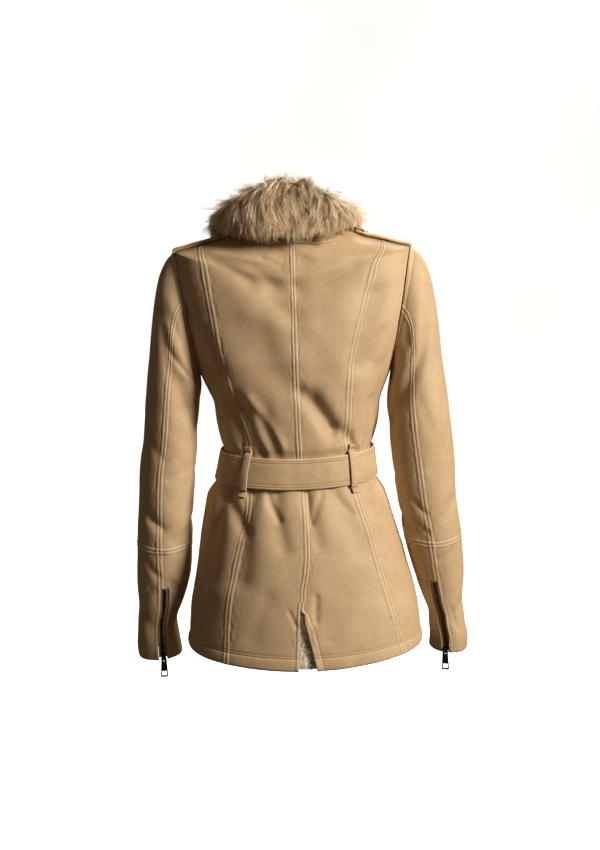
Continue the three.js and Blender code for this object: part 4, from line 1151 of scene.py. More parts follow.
def underfur(tree, place, settings):
    """The dense short undercoat between the long hairs: matt, brown and streaked, and on the whole
    a little darker than the hairs' roots, as painted shade deep between the locks.
    """
    streaks = noise(tree, place, 4, 4.0, 0.7)
    # painted shade: the lowest stop is darker than the roots, so that the gaps between the locks
    # look shaded
    stops = [(0.3, "#C6A67A"), (0.6, settings.fur_root), (0.8, "#EED8B2")]
    return {
        "Base Color": ramp(tree, streaks, stops),
        "Normal": relief(tree, streaks, 0.9, 0.003), "Roughness": 0.95, "Specular IOR Level": 0.15,
    }


def twisted_thread(tree, place, settings):
    """Waxed polyester thread, a little darker than the hide, with a soft shine. Its twist is too
    fine to show, so it is a speckle of half a millimetre."""
    twist = noise(tree, place, 0.5, 2.0, 0.6)
    tone = ramp(tree, twist, [(0.35, "#8C7A62"), (0.55, settings.thread), (0.75, "#D8C9B0")])
    return {"Base Color": tone, "Roughness": 0.5}


def woven_tape(tree, place, settings):
    """The zip's woven polyester tape: dull brown with a fine rib across it, drawn at 1.4 mm,
    about twice as coarse as it is, so that it shows."""
    ribs = node(tree, "ShaderNodeTexWave", {
        "Vector": place, "Scale": per_mm(1.4) / math.tau * 2, "Distortion": 0.6, "Detail": 1.0,
    }, bands_direction="Z").outputs["Fac"]
    colour = ramp(tree, ribs, [(0.2, "#947A5C"), (0.8, settings.tape)])
    worn = ramp(tree, noise(tree, place, 2.5, 3.0, 0.6), [(0.35, "#9A8B7E"), (0.7, "#FFFFFF")])
    return {
        "Base Color": layered(tree, colour, (0.6, worn)), "Normal": relief(tree, ribs, 0.4, 0.0003),
        "Roughness": 0.85,
    }


def plated_metal(tree, place, colour, worn, roughness):
    """Zinc alloy with an antiqued plating: dark and glossy, with paler rubbed patches and a
    smudged shine."""
    smudge, fine = noise(tree, place, 5, 4.0, 0.6), noise(tree, place, 0.9, 3.0, 0.6)
    return {
        "Base Color": ramp(tree, smudge, [(0.35, colour), (0.6, colour), (0.82, worn)]),
        "Roughness": spread(tree, fine, roughness - 0.07, roughness + 0.13),
        "Normal": relief(tree, smudge, 0.12, 0.0002), "Metallic": 1.0,
    }


def studio_paper(tree, place, settings):
    """Matt background paper, white and faintly uneven, with lights of its own that leave the
    coat alone."""
    tone = ramp(tree, noise(tree, place, 900, 2.0, 0.5), [(0.3, "#F4F4F2"), (0.7, "#FFFFFF")])
    return {
        "Base Color": tone, "Emission Color": tone, "Emission Strength": settings.paper_glow,
        "Roughness": 0.9,
    }


def look(name):
    """A finished material by its name. It is made at its first use."""
    made = bpy.data.materials.get(name)
    if made:
        return made
    scene = bpy.context.scene
    cloth, trim = scene.coat_cloth, scene.coat_trim
    finish, *values = {
        "sheepskin_napped_hide": (sheepskin, cloth),
        "sheepskin_shorn_wool": (shorn_wool, cloth),
        "sheepskin_underfur": (underfur, cloth),
        "fur_hair": (hair, cloth.fur_root, cloth.fur_middle, cloth.fur_tip, 0.5),
        "wool_curl": (hair, "#DDD0BC", cloth.wool, "#FDF9F0", 0.8),
        "polyester_thread": (twisted_thread, trim),
        "polyester_zip_tape": (woven_tape, trim),
        "gunmetal_plating": (plated_metal, trim.metal, "#A58F76", 0.27),
        "nickel_plating": (plated_metal, "#B9B4AC", "#E4DFD6", 0.24),
        "studio_paper": (studio_paper, scene.coat_studio),
    }[name]
    material, shader, place = new_material(name)
    fill(material.node_tree, shader, finish(material.node_tree, place, *values))
    return material


# Pieces


def finish_piece(obj, body, slot, *nodes):
    """Puts a piece on the body that it rides on and hides the nodes that it stands for.
    Its finish, slot, is not used.
    """
    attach(obj, body)
    if nodes:
        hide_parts(*nodes)
    return obj


ROW_STEP = 3.8
COLUMN_STEP = 3.2
SEAM_STEPS = np.array([0.2, 0.7, 1.4, 2.4, 3.4, 4.3, 5.0, 5.6, 6.2, 6.9, 7.8, 9.2, 11.5])


HEM_ROWS = [
    0, 0.7, 1.5, 2.5, 4, 6, 8, 10, 12, 14, 16, 17.6, 18.8, 19.6, 20.3, 20.9, 21.5, 22.3, 23.2, 24.2,
    25.1, 25.8, 26.6, 27.6, 29,
]


def low_rows():
    return np.concatenate([HEM_ROWS, np.arange(32, ARMPIT_UP - 2, ROW_STEP), [ARMPIT_UP]])


def neck_rows():
    armhole = np.linspace(0, ARMHOLE_SHARE, 74)[1:]
    shoulder = np.linspace(ARMHOLE_SHARE, 1, 24)[1:]
    return np.concatenate([low_rows(), upper_row(armhole), upper_row(shoulder)])


def shoulder_rows():
    return np.concatenate([low_rows(), upper_row(np.linspace(0, 1, 74)[1:])])


def upper_sleeve_rows():
    middle = np.arange(13, ELBOW_SEAM - 13, ROW_STEP)
    return np.concatenate([0.3 + SEAM_STEPS[:-1], middle, ELBOW_SEAM - SEAM_STEPS[::-1]])


def lower_sleeve_rows():
    middle = np.arange(ELBOW_SEAM + 14, CUFF_END - 10, ROW_STEP)
    middle = middle[np.abs(middle - CUFF_ZIP_TOP) > 2]
    at_zip = [CUFF_ZIP_TOP - 0.5, CUFF_ZIP_TOP + 0.5]
    cuff = CUFF_END - np.array([8, 6, 4.6, 3.4, 2.3, 1.3, 0.5, 0])
    return np.sort(np.concatenate([ELBOW_SEAM + SEAM_STEPS, middle, at_zip, cuff]))


def body_depth(angle, up):
    """How deep in a fold or crease a place is, up to 1, which sets the hide's painted shade. Ridges
    are negative.
    """
    folds = pressed(BODY_FOLDS + BODY_CREASES, FOLD_RADIUS, angle, up)
    return np.clip(folds / 8, -1, 1)


def sleeve_depth(side):
    # how deep in a fold or crease a place is, up to 1, which sets the hide's painted shade
    def depth(angle, along):
        folds = pressed(SLEEVE_FOLDS + SLEEVE_CREASES[side], SLEEVE_FOLD_RADIUS, angle, along)
        return np.clip(folds / 7, -1, 1)

    return depth


FACING = 12.6  # width of the folded facing along the vent's free edge


def facing_width(up):
    """The width of the band beside the centre back edge: a seam's, then the vent's facing."""
    return lerp(SEAM_BAND, FACING, ease(np.clip((VENT_UP + 4 - up) / 40, 0, 1)))


def vent_facing(up, from_start, height, distance):
    """Widens the seam's band into the folded facing, below the top of the vent."""
    width = facing_width(up)
    band = np.clip(from_start / 1.9, 0, 1) ** 0.7 - 0.12
    band = band * (1 - ease(np.clip((from_start - width + 1.3) / 2.4, 0, 1)))
    facing = band - 0.5 * bump(from_start, width + 1.2, 1.2)
    near = (from_start < 20) & (up < VENT_UP + 4)
    height = height + near * (facing - seam_relief(from_start))
    # the distance is stretched so that the painted shade of the stitch groove falls on the facing's
    # stitching
    return height, np.where(near, from_start * STITCH_ROW / (width + 1), distance)


def body_cloths():
    """The body's panels, by the names of the nodes they stand for."""
    cloths = {}

    def panel(name, ends, trim=None):
        cloths[name] = Cloth(on_body, *ends, body_depth, relief=hem_relief, trim=trim)

    for side, order, trim in (("left", 1, None), ("right", -1, vent_facing)):
        centre = (centre_side_edge(side), centre_back_edge(side))[::order]
        panel("back_centre_" + side, centre, trim)
        panel("back_side_" + side, (armhole_back_edge(side), back_side_edge(side))[::order])
        turned = mirrored if side == "right" else lambda edge: edge
        panel("front_" + side, (turned(front_zip_edge), turned(front_outer_edge))[::order])
    return cloths


def sleeve_trim(along, from_start, height, distance):
    """The bands at the armhole and the elbow seam, and the edge of the cuff."""
    to_elbow = np.abs(along - ELBOW_SEAM)
    height = height + seam_relief(to_elbow) + seam_relief(along)
    height = height - 1.8 * np.clip(1 - (CUFF_END - along) / 5, 0, 1) ** 2
    return height, np.minimum(distance, np.minimum(to_elbow, along))


def sleeve_cloths(side):
    """One sleeve's four pieces, by the names of the nodes they stand for."""

    def seam(row):
        return sleeve_seam[side](row), row

    def zipped(row):
        return sleeve_seam[side](row) + np.where(row > CUFF_ZIP_TOP, zip_angle(row), 0), row

    def front(turn):
        return lambda row: (np.full_like(row, SLEEVE_FRONT_SEAM + turn), row)

    cloths = {}
    for part in ("outer", "inner"):
        inner = part == "inner"
        cloth = Cloth(
            sleeve_place(side), zipped if inner else front(-360), front(0) if inner else seam,
            sleeve_depth(side), bands=(inner, not inner), trim=sleeve_trim,
        )
        cloths[f"sleeve_upper_{part}_{side}"] = cloths[f"sleeve_lower_{part}_{side}"] = cloth
    return cloths


def cloth_piece(name, cloth, rows, lines=(EDGE_LINES, EDGE_LINES)):
    step = COLUMN_STEP * (1.5 if name.startswith("front") else 1)
    outer, inner, distance, depth = cloth.grid(rows, step, lines)
    looks = [look("sheepskin_napped_hide"), look("sheepskin_shorn_wool")]
    obj = shell("cloth_" + name, outer, inner, looks, distance, depth)
    finish_piece(obj, "coat", "shearling", name)
    return obj


def rows_of(name):
    if name.startswith("back_side"):
        return shoulder_rows()
    if name.startswith("sleeve_upper"):
        return upper_sleeve_rows()
    if name.startswith("sleeve_lower"):
        return lower_sleeve_rows()
    return neck_rows()


UNDERLAP = {"left": 17, "right": -34, "low": 3, "above": 14, "seat_left": 0.9, "seat_right": 2.4}


def underlap_points(rows, columns, out):
    """The wool face of the vent's underlap, moved out by some distance."""
    lap = UNDERLAP
    up = np.linspace(lap["low"], VENT_UP + lap["above"], rows)[:, None]
    share = np.linspace(0, 1, columns)[None, :]
    seat = lerp(lap["seat_left"], lap["seat_right"], share)
    angle = back_angle(lerp(lap["left"], lap["right"], share), up)
    return on_body(angle, up, out - HIDE - seat, creased=False)


def vent_underlap():
    outer = underlap_points(60, 30, 0.0)
    wave = 0.5 * unevenness(outer[..., 0], outer[..., 2], 9, 8)
    outer = underlap_points(60, 30, wave - 0.3)
    looks = [look("sheepskin_shorn_wool"), look("sheepskin_napped_hide")]
    obj = shell("wool_vent_underlap", outer, underlap_points(12, 8, -2.8), looks)
    finish_piece(obj, "coat", "wool", "vent_underlap")


# Belt, loops and straps


BELT_MIDDLE = (BELT_LOW_UP + BELT_HIGH_UP) / 2


def belt_point(angle, share, out):
    low, middle, high = (up + 0 * angle for up in (BELT_LOW_UP, BELT_MIDDLE, BELT_HIGH_UP))
    facing = unit(body_out(angle, middle) * np.array([1, 1, 0]))
    point = lerp(body_point(angle, low), body_point(angle, high), np.asarray(share)[..., None])
    return point + facing * np.asarray(BELT_CLEARANCE + out)[..., None]


BELT_ACROSS = np.array([
    0, 0.008, 0.022, 0.045, 0.065, 0.08, 0.095, 0.12, 0.14, 0.155, 0.17, 0.2, 0.27, 0.35, 0.43,
    0.5,
])
BELT_STITCHES = (3.8, 7.4)


def belt_height(angle, across):
    """The thickness of the belt across its width, puffed between its stitched edges."""
    distance = np.minimum(across, 1 - across) * BELT_WIDTH
    height = BELT_THICKNESS - 1.5 * bump(distance, 0, 0.9) + 0.35 * bump(distance, 5.6, 1.2)
    for row in BELT_STITCHES:
        height = height - 0.7 * bump(distance, row, 0.8)
    wave = unevenness(angle * 2.0, across * BELT_WIDTH, 34, 14)
    return height + (0.35 + 0.4 * bump(distance, 24, 14)) * (0.6 * wave + 0.4)


def belt_course():
    """Angles along the belt, how wide its rounded end is at each and how far its tail is lifted."""
    tip = BELT_END - 9
    angle = np.append(np.linspace(BELT_START, tip, 330)[:-1], np.linspace(tip, BELT_END, 30))
    pointed = 0.4 + 0.6 * np.clip((BELT_END - angle) / 8, 0, 1) ** 0.7
    return angle, pointed, tail_rise(angle)


def belt():
    angle, pointed, rise = belt_course()
    across = np.append(BELT_ACROSS, 1 - BELT_ACROSS[-2::-1])
    inside = np.array([0.94, 0.7, 0.5, 0.3, 0.06])
    rings = [
        belt_point(angle, 0.5 + (share - 0.5) * pointed, rise + belt_height(angle, share))
        for share in across
    ]
    rings += [belt_point(angle, 0.5 + (share - 0.5) * pointed, rise + 0.15) for share in inside]
    distance = np.append(np.minimum(across, 1 - across) * BELT_WIDTH, np.full(len(inside), 20))
    seam = np.where(distance < 2.2, distance / SEAM_REACH + 0.05, 0.5)
    seam = np.append(np.tile(seam, len(angle)), [0.5, 0.5])
    attributes = {"seam": seam, "crease": np.zeros(len(seam))}
    obj = tube("leather_belt", np.stack(rings, 1), [look("sheepskin_napped_hide")], attributes)
    finish_piece(obj, "coat", "shearling", "belt")


def smooth_line(points, steps):
    """A smooth line through points, for each column of points."""
    points = np.asarray(points)
    padded = np.concatenate([2 * points[:1] - points[1:2], points, 2 * points[-1:] - points[-2:-1]])
    at = np.linspace(0, len(points) - 1 - 1e-9, steps)
    i = at.astype(int)
    t = (at - i).reshape(-1, *[1] * (points.ndim - 1))
    a, b, c, d = (padded[i + k] for k in range(4))
    bend = (2 * a - 5 * b + 4 * c - d) * t ** 2 + (3 * b - a - 3 * c + d) * t ** 3
    return 0.5 * (2 * b + (c - a) * t + bend)


def loop_grid(side, out, halves):
    """A belt loop's route over the belt, moved out and across by some distances."""
    angle = float(back_angle(princess[side](BELT_MIDDLE) * towards(side), BELT_MIDDLE))
    reach = float(np.hypot(*body_point(np.array(angle), np.array(BELT_MIDDLE))[:2]))
    outside = BELT_THICKNESS + 1
    turns = angle + np.degrees(np.asarray(halves) / reach)
    bow = 1.6 if side == "left" else 0.5

    def on_belt(share, more):
        return belt_point(turns, np.full_like(turns, share), outside + out + more)

    def on_cloth(up, more=0.0):
        return on_body(turns, up, 1.9 + out + more, creased=False)

    route = [
        on_cloth(BELT_LOW_UP - 14), on_cloth(BELT_LOW_UP - 10, 0.7), on_cloth(BELT_LOW_UP - 6),
        on_belt(-0.07, -1.4), on_belt(0.06, 0.0), on_belt(0.3, 0.5 + bow * 0.7),
        on_belt(0.5, 0.5 + bow), on_belt(0.72, 0.5 + bow * 0.6), on_belt(0.94, 0.0),
        on_belt(1.07, -1.4),
        on_cloth(BELT_HIGH_UP + 6), on_cloth(BELT_HIGH_UP + 10, 0.7), on_cloth(BELT_HIGH_UP + 14),
    ]
    return smooth_line(np.stack(route), 60)


def belt_loop(side):
    half = LOOP_WIDTH / 2
    across = np.array([-1, -0.93, -0.78, -0.5, -0.2, 0, 0.2, 0.5, 0.78, 0.93, 1]) * half
    round_off = np.array([-0.9, -0.3, 0.1, -0.25, 0.15, 0.25, 0.15, -0.25, 0.1, -0.3, -0.9])
    outer = loop_grid(side, LOOP_THICKNESS + round_off, across)
    inner = loop_grid(side, 0.1 + 0 * across[::2], across[::2])
    hide = look("sheepskin_napped_hide")
    obj = shell("leather_belt_loop_" + side, outer, inner, [hide, hide])
    finish_piece(obj, "coat", "shearling", "belt_loop_" + side)


def strap_place(side, up, across, out):
    """A point of a shoulder strap: across is -1 at its front edge and 1 at its back edge."""
    narrow = 0.4 + 0.6 * np.clip((STRAP["end_up"] - up) / STRAP["point"], 0, 1)
    turn = np.degrees(np.arcsin(STRAP["half"] * narrow / torso["half"](up)))
    angle = side_angle(side) + across * turn * towards(side)
    return on_body(angle, up, STRAP["under"] + out, creased=False)


def strap_height(side, up, across):
    share = (up - STRAP["tip_up"]) / (STRAP["end_up"] - STRAP["tip_up"])
    edge = (1 - np.abs(across)) * STRAP["half"]
    lift = (1.6 if side == "right" else 0.8) * np.sin(math.pi * np.clip(share, 0, 1)) ** 2
    wave = 0.3 * unevenness(share * 90, across * 17, 30, 6)
    height = STRAP["thickness"] - 1.2 * bump(edge, 0, 1) - 0.6 * bump(edge, STRAP["stitch"], 0.8)
    return height + lift + wave, lift


def shoulder_strap(side):
    up = np.linspace(STRAP["tip_up"], STRAP["end_up"], 56)[:, None]
    edge = np.array([0, 0.03, 0.07, 0.12, 0.16, 0.2, 0.24, 0.29, 0.38, 0.55, 0.75])
    across = np.concatenate([-1 + edge, [0], (1 - edge)[::-1]])[None, :]
    height, _ = strap_height(side, up, across)
    outer = strap_place(side, up, across, height)
    low = np.linspace(STRAP["tip_up"], STRAP["end_up"], 15)[:, None]
    few = np.linspace(-1, 1, 7)[None, :]
    _, under_lift = strap_height(side, low, few)
    inner = strap_place(side, low, few, under_lift)
    hide = look("sheepskin_napped_hide")
    # through the seam attribute, this gives the strap the hide's painted shade at its edges and in
    # the groove of its stitching
    distance = (1 - np.abs(across)) * STRAP["half"] * 1.6 + 0 * up
    obj = shell("leather_shoulder_strap_" + side, outer, inner, [hide, hide], distance)
    finish_piece(obj, "coat", "shearling", "shoulder_strap_" + side)


NECK_BAND = {"from": 128, "to": 238, "drop": 7.5, "rise": 4}


def neck_band():
    """The narrow hide edge of the collar's under side, which shows below the fur at the back."""
    angle = np.linspace(NECK_BAND["from"], NECK_BAND["to"], 120)[:, None]
    across = np.array([0, 0.08, 0.2, 0.4, 0.6, 0.8, 1.0])[None, :]
    edge_up = collar["edge_up"](angle)
    up = edge_up + lerp(-NECK_BAND["drop"], NECK_BAND["rise"], across)
    puff = 1.6 + 1.5 * np.sin(math.pi * np.clip(across * 0.95 + 0.04, 0, 1)) ** 0.6
    ends = np.clip(np.minimum(angle - NECK_BAND["from"], NECK_BAND["to"] - angle) / 6, 0, 1)
    outer = on_body(angle, up, puff * ends + 0.4)
    few = np.linspace(0, 1, 3)[None, :]
    up = edge_up[::4] + lerp(-NECK_BAND["drop"] + 0.3, NECK_BAND["rise"], few)
    inner = on_body(angle[::4], up, 0.2)
    hide = look("sheepskin_napped_hide")
    obj = shell("leather_neck_band", outer, inner, [hide, hide])
    finish_piece(obj, "coat", "shearling")


# Zips and hardware


def zip_grid(place, rows, start, end, width, outs_of, steps):
    gap = SEAM_GAP * 0.7
    distance = np.linspace(gap, width - gap, steps)[None, :]
    u, v = ruled(start, end, rows[:, None], distance / width)
    return place(u, v, outs_of(distance), creased=False)


def zip_runs():
    """Each zip by name: its place, its two edges, its width and its two ends."""

    def cuff(side):
        seam = lambda row: (sleeve_seam[side](row), row)
        far = lambda row: (sleeve_seam[side](row) + zip_angle(row), row)
        return sleeve_place(side), seam, far, CUFF_ZIP_WIDTH, CUFF_ZIP_TOP + 1.5, CUFF_END - 5

    def half(up):
        return np.degrees(FRONT_ZIP_WIDTH / 2 / torso["front"](up))

    return {
        "cuff_zip_left": cuff("left"),
        "cuff_zip_right": cuff("right"),
        "front_zip": (
            on_body, lambda up: (-half(up), up), lambda up: (half(up), up), FRONT_ZIP_WIDTH, 5,
            FRONT_ZIP_TOP_UP - 2,
        ),
    }


def zip_tape(name):
    place, start, end, width, low, high = zip_runs()[name]
    rows = np.linspace(low, high, int((high - low) / 3))

    def face(distance):
        ridge = bump(np.abs(distance - width / 2), CHAIN_WIDTH / 2 + 1.2, 0.7)
        return 0.35 * ridge - TAPE_RECESS

    def back(distance):
        return -TAPE_RECESS - TAPE_THICKNESS + 0 * distance

    outer = zip_grid(place, rows, start, end, width, face, 17)
    few = np.append(rows[::6], rows[-1]) if rows[::6][-1] != rows[-1] else rows[::6]
    inner = zip_grid(place, few, start, end, width, back, 4)
    tape = look("polyester_zip_tape")
    obj = shell("tape_" + name, outer, inner, [tape, tape])
    finish_piece(obj, "coat", "tape", name)


def zip_teeth(name, settings):
    place, start, end, width, low, high = zip_runs()[name]
    lines = []
    for turn, off in enumerate((-1.15, 1.15)):
        rows = np.arange(low + 3 + turn * settings.tooth_pitch / MM / 2, high - 4, 1.3)
        u, v = ruled(start, end, rows, (width / 2 + off) / width)
        lines.append(traced(lambda out: place(u, v, out, creased=False), 0.9 - TAPE_RECESS))
    source = line_object("line_" + name, lines)
    obj = grown("teeth_" + name, source, teeth_tree(), {
        "Pitch": settings.tooth_pitch, "Tooth width": settings.tooth_pitch * 0.52,
        "Material": look("gunmetal_plating"),
    })
    finish_piece(obj, "coat", "metal")


def polished(node_name, body, material, bevel):
    """A copy of a solid with its doubles merged, its edges rounded and a better finish."""
    mesh = frame["nodes"][node_name].data.copy()
    mesh.materials.clear()
    mesh.materials.append(look(material))
    edit = bmesh.new()
    edit.from_mesh(mesh)
    bmesh.ops.remove_doubles(edit, verts=edit.verts, dist=1e-6)
    bmesh.ops.dissolve_limit(edit, angle_limit=math.radians(2), verts=edit.verts, edges=edit.edges)
    edit.to_mesh(mesh)
    edit.free()
    mesh.polygons.foreach_set("material_index", np.zeros(len(mesh.polygons), dtype=np.int32))
    obj = add_object("metal_" + node_name, mesh)
    rounding = obj.modifiers.new("rounded_edges", "BEVEL")
    rounding.width = bevel * MM
    rounding.segments = 2
    rounding.limit_method = "ANGLE"
    rounding.angle_limit = math.radians(40)
    mesh.shade_smooth()
    mesh.set_sharp_from_angle(angle=math.radians(35))
    finish_piece(obj, body, "metal", node_name)


# Collar


def collar_ring(angle):
    """The fur collar's section at each angle: up inside the neck, over the top and down outside."""
    neck = on_body(angle, NECK_UP + 0 * angle, 0.0, creased=False)
    away = unit(neck * np.array([1, 1, 0]))
    top, reach, bulge, tips, edge_up = (column(angle) for column in collar.values())

    def at(out, z):
        point = neck + away * np.asarray(out + 0 * angle)[..., None]
        point[..., 2] = z
        return point

    def under(part):
        up = lerp(edge_up, NECK_UP, part)
        lift = lerp(COLLAR_LIFT, 0.8, min(max((part - 0.55) / 0.45, 0), 1) ** 1.5)
        return on_body(angle, up, np.minimum(lift, 0.8 + (NECK_UP - up) * 0.9), creased=False)

    edge = under(0)
    edge_out = np.hypot(edge[..., 0], edge[..., 1]) - np.hypot(neck[..., 0], neck[..., 1])
    clump = 2.5 * unevenness(angle * 2.4, 0 * angle, 42, 17)
    neck_z = neck[..., 2]
    return np.stack([
        at(-1, neck_z + 2), at(-5, lerp(neck_z, top, 0.45)), at(-1, top - 12), at(8, top - 3),
        at(20, top + clump * 0.4), at(33, top - 5 + clump),
        at(lerp(33, reach, 0.7), lerp(top, bulge, 0.45)),
        at(np.maximum(reach, edge_out) + clump, bulge),
        at(np.maximum(reach - 5, edge_out + 8) + clump, np.maximum(edge[..., 2] + 3, tips)),
        edge, under(0.35), under(0.7), under(0.93),
    ], 1)


def inset(rings, depths):
    """Sections drawn in towards their middles by a depth for each of their points."""
    middle = rings.mean(1, keepdims=True)
    span = np.linalg.norm(middle - rings, axis=-1, keepdims=True)
    depths = np.minimum(np.asarray(depths)[None, :, None], span * 0.6)
    return rings + unit(middle - rings) * depths


FUR_QUARTERS = (9, 96, 180, 264, 351)
BASE_INSETS = [4, 6, 8, 9, 9.5, 10, 10.5, 11, 11, 3.5, 0.3, 0.3, 0.3]
ROOT_INSETS = [1, 2, 4.5, 7, 8, 8, 8.5, 8.5, 7, 1, 1, 1, 1]


def collar_base():
    """The hide of the collar with its dense undercoat, which shows between the long hairs."""
    angle = np.linspace(FUR_QUARTERS[0], FUR_QUARTERS[-1], 220)
    rings = inset(collar_ring(angle), BASE_INSETS)
    rings[:, 0, 2] -= 6  # the roots close on the neck edge, inside and out
    rings[:, -1] = on_body(angle, NECK_UP - 3, 0.3, creased=False)
    closed = np.concatenate([rings[:, -1:], rings, rings[:, :2]], 1).transpose(1, 0, 2)
    fine = smooth_line(closed, 15 * 4 + 1)[4:-8].transpose(1, 0, 2)
    obj = tube("fur_collar_base", fine, [look("sheepskin_underfur")])
    finish_piece(obj, "coat", "fur", "fur_collar")


def comb_field(surface):
    """Directions down the rows of a surface, swayed sideways in patches so that locks meet."""
    down = np.gradient(surface, axis=1)
    aside = unit(np.gradient(surface, axis=0))
    x, z = surface[..., 0] + surface[..., 1], surface[..., 2]
    sway = 0.45 * unevenness(x, z, 46, 31) + 0.22 * unevenness(x, z, 19, 32)
    return unit(unit(down) + aside * sway[..., None])


def collar_fur(settings):
    """Long hair in four pieces, each grown on a quarter of the collar."""
    tree = locks_tree()
    group = lock_collection("fur_locks", 7, hairs=7, spread=0.13, rise=0.06, wave=0.08, thick=0.009)
    for number, (first, last) in enumerate(zip(FUR_QUARTERS[:-1], FUR_QUARTERS[1:])):
        angle = np.linspace(first, last, int((last - first) / 2.2))
        rings = inset(collar_ring(angle), ROOT_INSETS)
        face = smooth_line(rings[:, :10].transpose(1, 0, 2), 46).transpose(1, 0, 2)
        share = np.linspace(0, 1, face.shape[1])[None, :]
        fall = np.linalg.norm(face - face[:, -1:], axis=-1)
        # short inside the neck, long over the top and no longer than the way down to the edge
        lengths = settings.lock_length / MM * (0.5 + 0.5 * np.clip((share - 0.2) / 0.2, 0, 1))
        lengths = np.minimum(lengths, np.where(share > 0.5, fall * 0.7 + 1.5, 99))
        face, lengths = face[:, :-3], lengths[:, :-3]  # none grow on the edge itself
        patches = unevenness(face[..., 0] + face[..., 1], face[..., 2], 30, 12)
        lengths = lengths * (1 + 0.22 * patches)
        source = scatter_object(f"fur_root_{number}", face, comb_field(face), lengths)
        obj = grown(f"fur_collar_hair_{number + 1}", source, tree, {
            "Locks": group, "Kinds": 7, "Density": settings.lock_density, "Straying": 0.1,
            "Lift": settings.lock_lift, "Seed": 11 + number, "Material": look("fur_hair"),
        })
        finish_piece(obj, "coat", "fur")
    drop_collection(group)


def wool_curls():
    """Curly wool where it shows: in the vent and at the right cuff."""
    tree = locks_tree()
    group = lock_collection("wool_locks", 5, hairs=4, spread=0.3, rise=0.35, wave=0.9, thick=0.05)
    lap = underlap_points(40, 16, -0.8)
    angle = np.linspace(40, 140, 30)[:, None]
    along = np.linspace(CUFF_END - 9, CUFF_END - 1.5, 5)[None, :]
    cuff = sleeve_place("right")(angle, along, 1.4 - HIDE, creased=False)
    for name, face, down, reach, density in (
        ("vent", lap, -np.gradient(lap, axis=0), 6.5, 115000.0),
        ("right_cuff", cuff, np.gradient(cuff, axis=1), 5.5, 260000.0),
    ):
        lengths = np.full(face.shape[:2], reach)
        source = scatter_object("wool_root_" + name, face, unit(down), lengths)
        obj = grown("wool_curls_" + name, source, tree, {
            "Locks": group, "Kinds": 5, "Density": density, "Straying": 0.9, "Lift": 0.35,
            "Seed": 5, "Material": look("wool_curl"),
        })
        finish_piece(obj, "coat", "wool")
    drop_collection(group)


# Stitching


# The rows that hold the top of the vent, each from an angle and height to another.
VENT_TACKS = ((166.5, 194), (184.5, 204)), ((187.5, 190), (204, 194))


def body_stitches():
    lines = []
    for name, cloth in body_cloths().items():
        rows = rows_of(name)
        rows = rows[rows > HEM_STITCHES[1] + 2][:-1]
        vented = name == "back_centre_right"
        first = facing_width(rows)[:, None] + 1.2 if vented else STITCH_ROW
        lines.append(cloth.seam_line(rows, first))
        lines.append(cloth.seam_line(rows, STITCH_ROW, at_end=True))
        lines += [cloth.row_line(row, low=0.01, high=0.99) for row in HEM_STITCHES]
    for first, last in VENT_TACKS:
        angle, up = (np.linspace(a, b, 24) for a, b in zip(first, last))
        lines.append(traced(lambda out: on_body(angle, up, out)))
    angle = np.linspace(NECK_BAND["from"] + 5, NECK_BAND["to"] - 5, 90)
    up = collar["edge_up"](angle) - NECK_BAND["drop"] + 2.2
    lines.append((on_body(angle, up, 2.5), body_out(angle, up)))
    return lines


def sleeve_stitches(side):
    lines = []
    for name, cloth in sleeve_cloths(side).items():
        rows = rows_of(name)
        upper, lower = (STITCH_ROW, ELBOW_SEAM - STITCH_ROW), (ELBOW_SEAM + STITCH_ROW,)
        lines += [cloth.row_line(row) for row in (upper if "upper" in name else lower)]
        rows = rows[(rows > STITCH_ROW) & (rows < CUFF_END - 3)]
        rows = rows[np.abs(rows - ELBOW_SEAM) > STITCH_ROW]
        lines.append(cloth.seam_line(rows, STITCH_ROW, at_end="inner" not in name))
    place, top = sleeve_place(side), CUFF_ZIP_TOP - 7.0
    seam = float(sleeve_seam[side](top))
    angle = np.linspace(seam - 7, seam + float(zip_angle(CUFF_ZIP_TOP)) + 8, 12)
    lines.append(traced(lambda out: place(angle, top, out), 0.1))
    return lines


def belt_stitches():
    angle, pointed, rise = belt_course()
    lines = []
    for distance in BELT_STITCHES:
        for share in (distance / BELT_WIDTH, 1 - distance / BELT_WIDTH):
            height, at = rise + belt_height(angle, share), 0.5 + (share - 0.5) * pointed
            lines.append(traced(lambda out: belt_point(angle, at, height + out)))
    return lines


def strap_stitches():
    lines = []
    up = np.linspace(STRAP["tip_up"] + 3, STRAP["end_up"] - 8, 40)
    inset_share = STRAP["stitch"] / STRAP["half"]
    for side in SIDES:
        for across in (inset_share - 1, 1 - inset_share):
            height, _ = strap_height(side, up, across)
            lines.append(traced(lambda out: strap_place(side, up, across, height + out)))
        half = LOOP_WIDTH / 2 - 1.2
        across = np.linspace(-half, half, 7)
        tacks, outs = traced(lambda out: loop_grid(side, LOOP_THICKNESS + out, across), 0.3)
        lines += [(tacks[row], outs[row]) for row in (5, 8, len(tacks) - 9, len(tacks) - 6)]
    return lines


def stitching(name, lines, settings):
    source = line_object("line_" + name, lines)
    obj = grown("stitches_" + name, source, stitch_tree(), {
        "Pitch": settings.stitch_pitch, "Stitch length": settings.stitch_length,
        "Thread width": settings.thread_width, "Material": look("polyester_thread"),
    })
    finish_piece(obj, "coat", "shearling")


# Studio


CAMERA_PLACE = (-0.005, 2.220, 0.055)
CAMERA_PITCH = 9.13
CAMERA_ROLL = 1.5
CAMERA_LENS = 59.29
FLOOR_Z = -1.4
COAT_MIDDLE = (0, 0, -0.3)


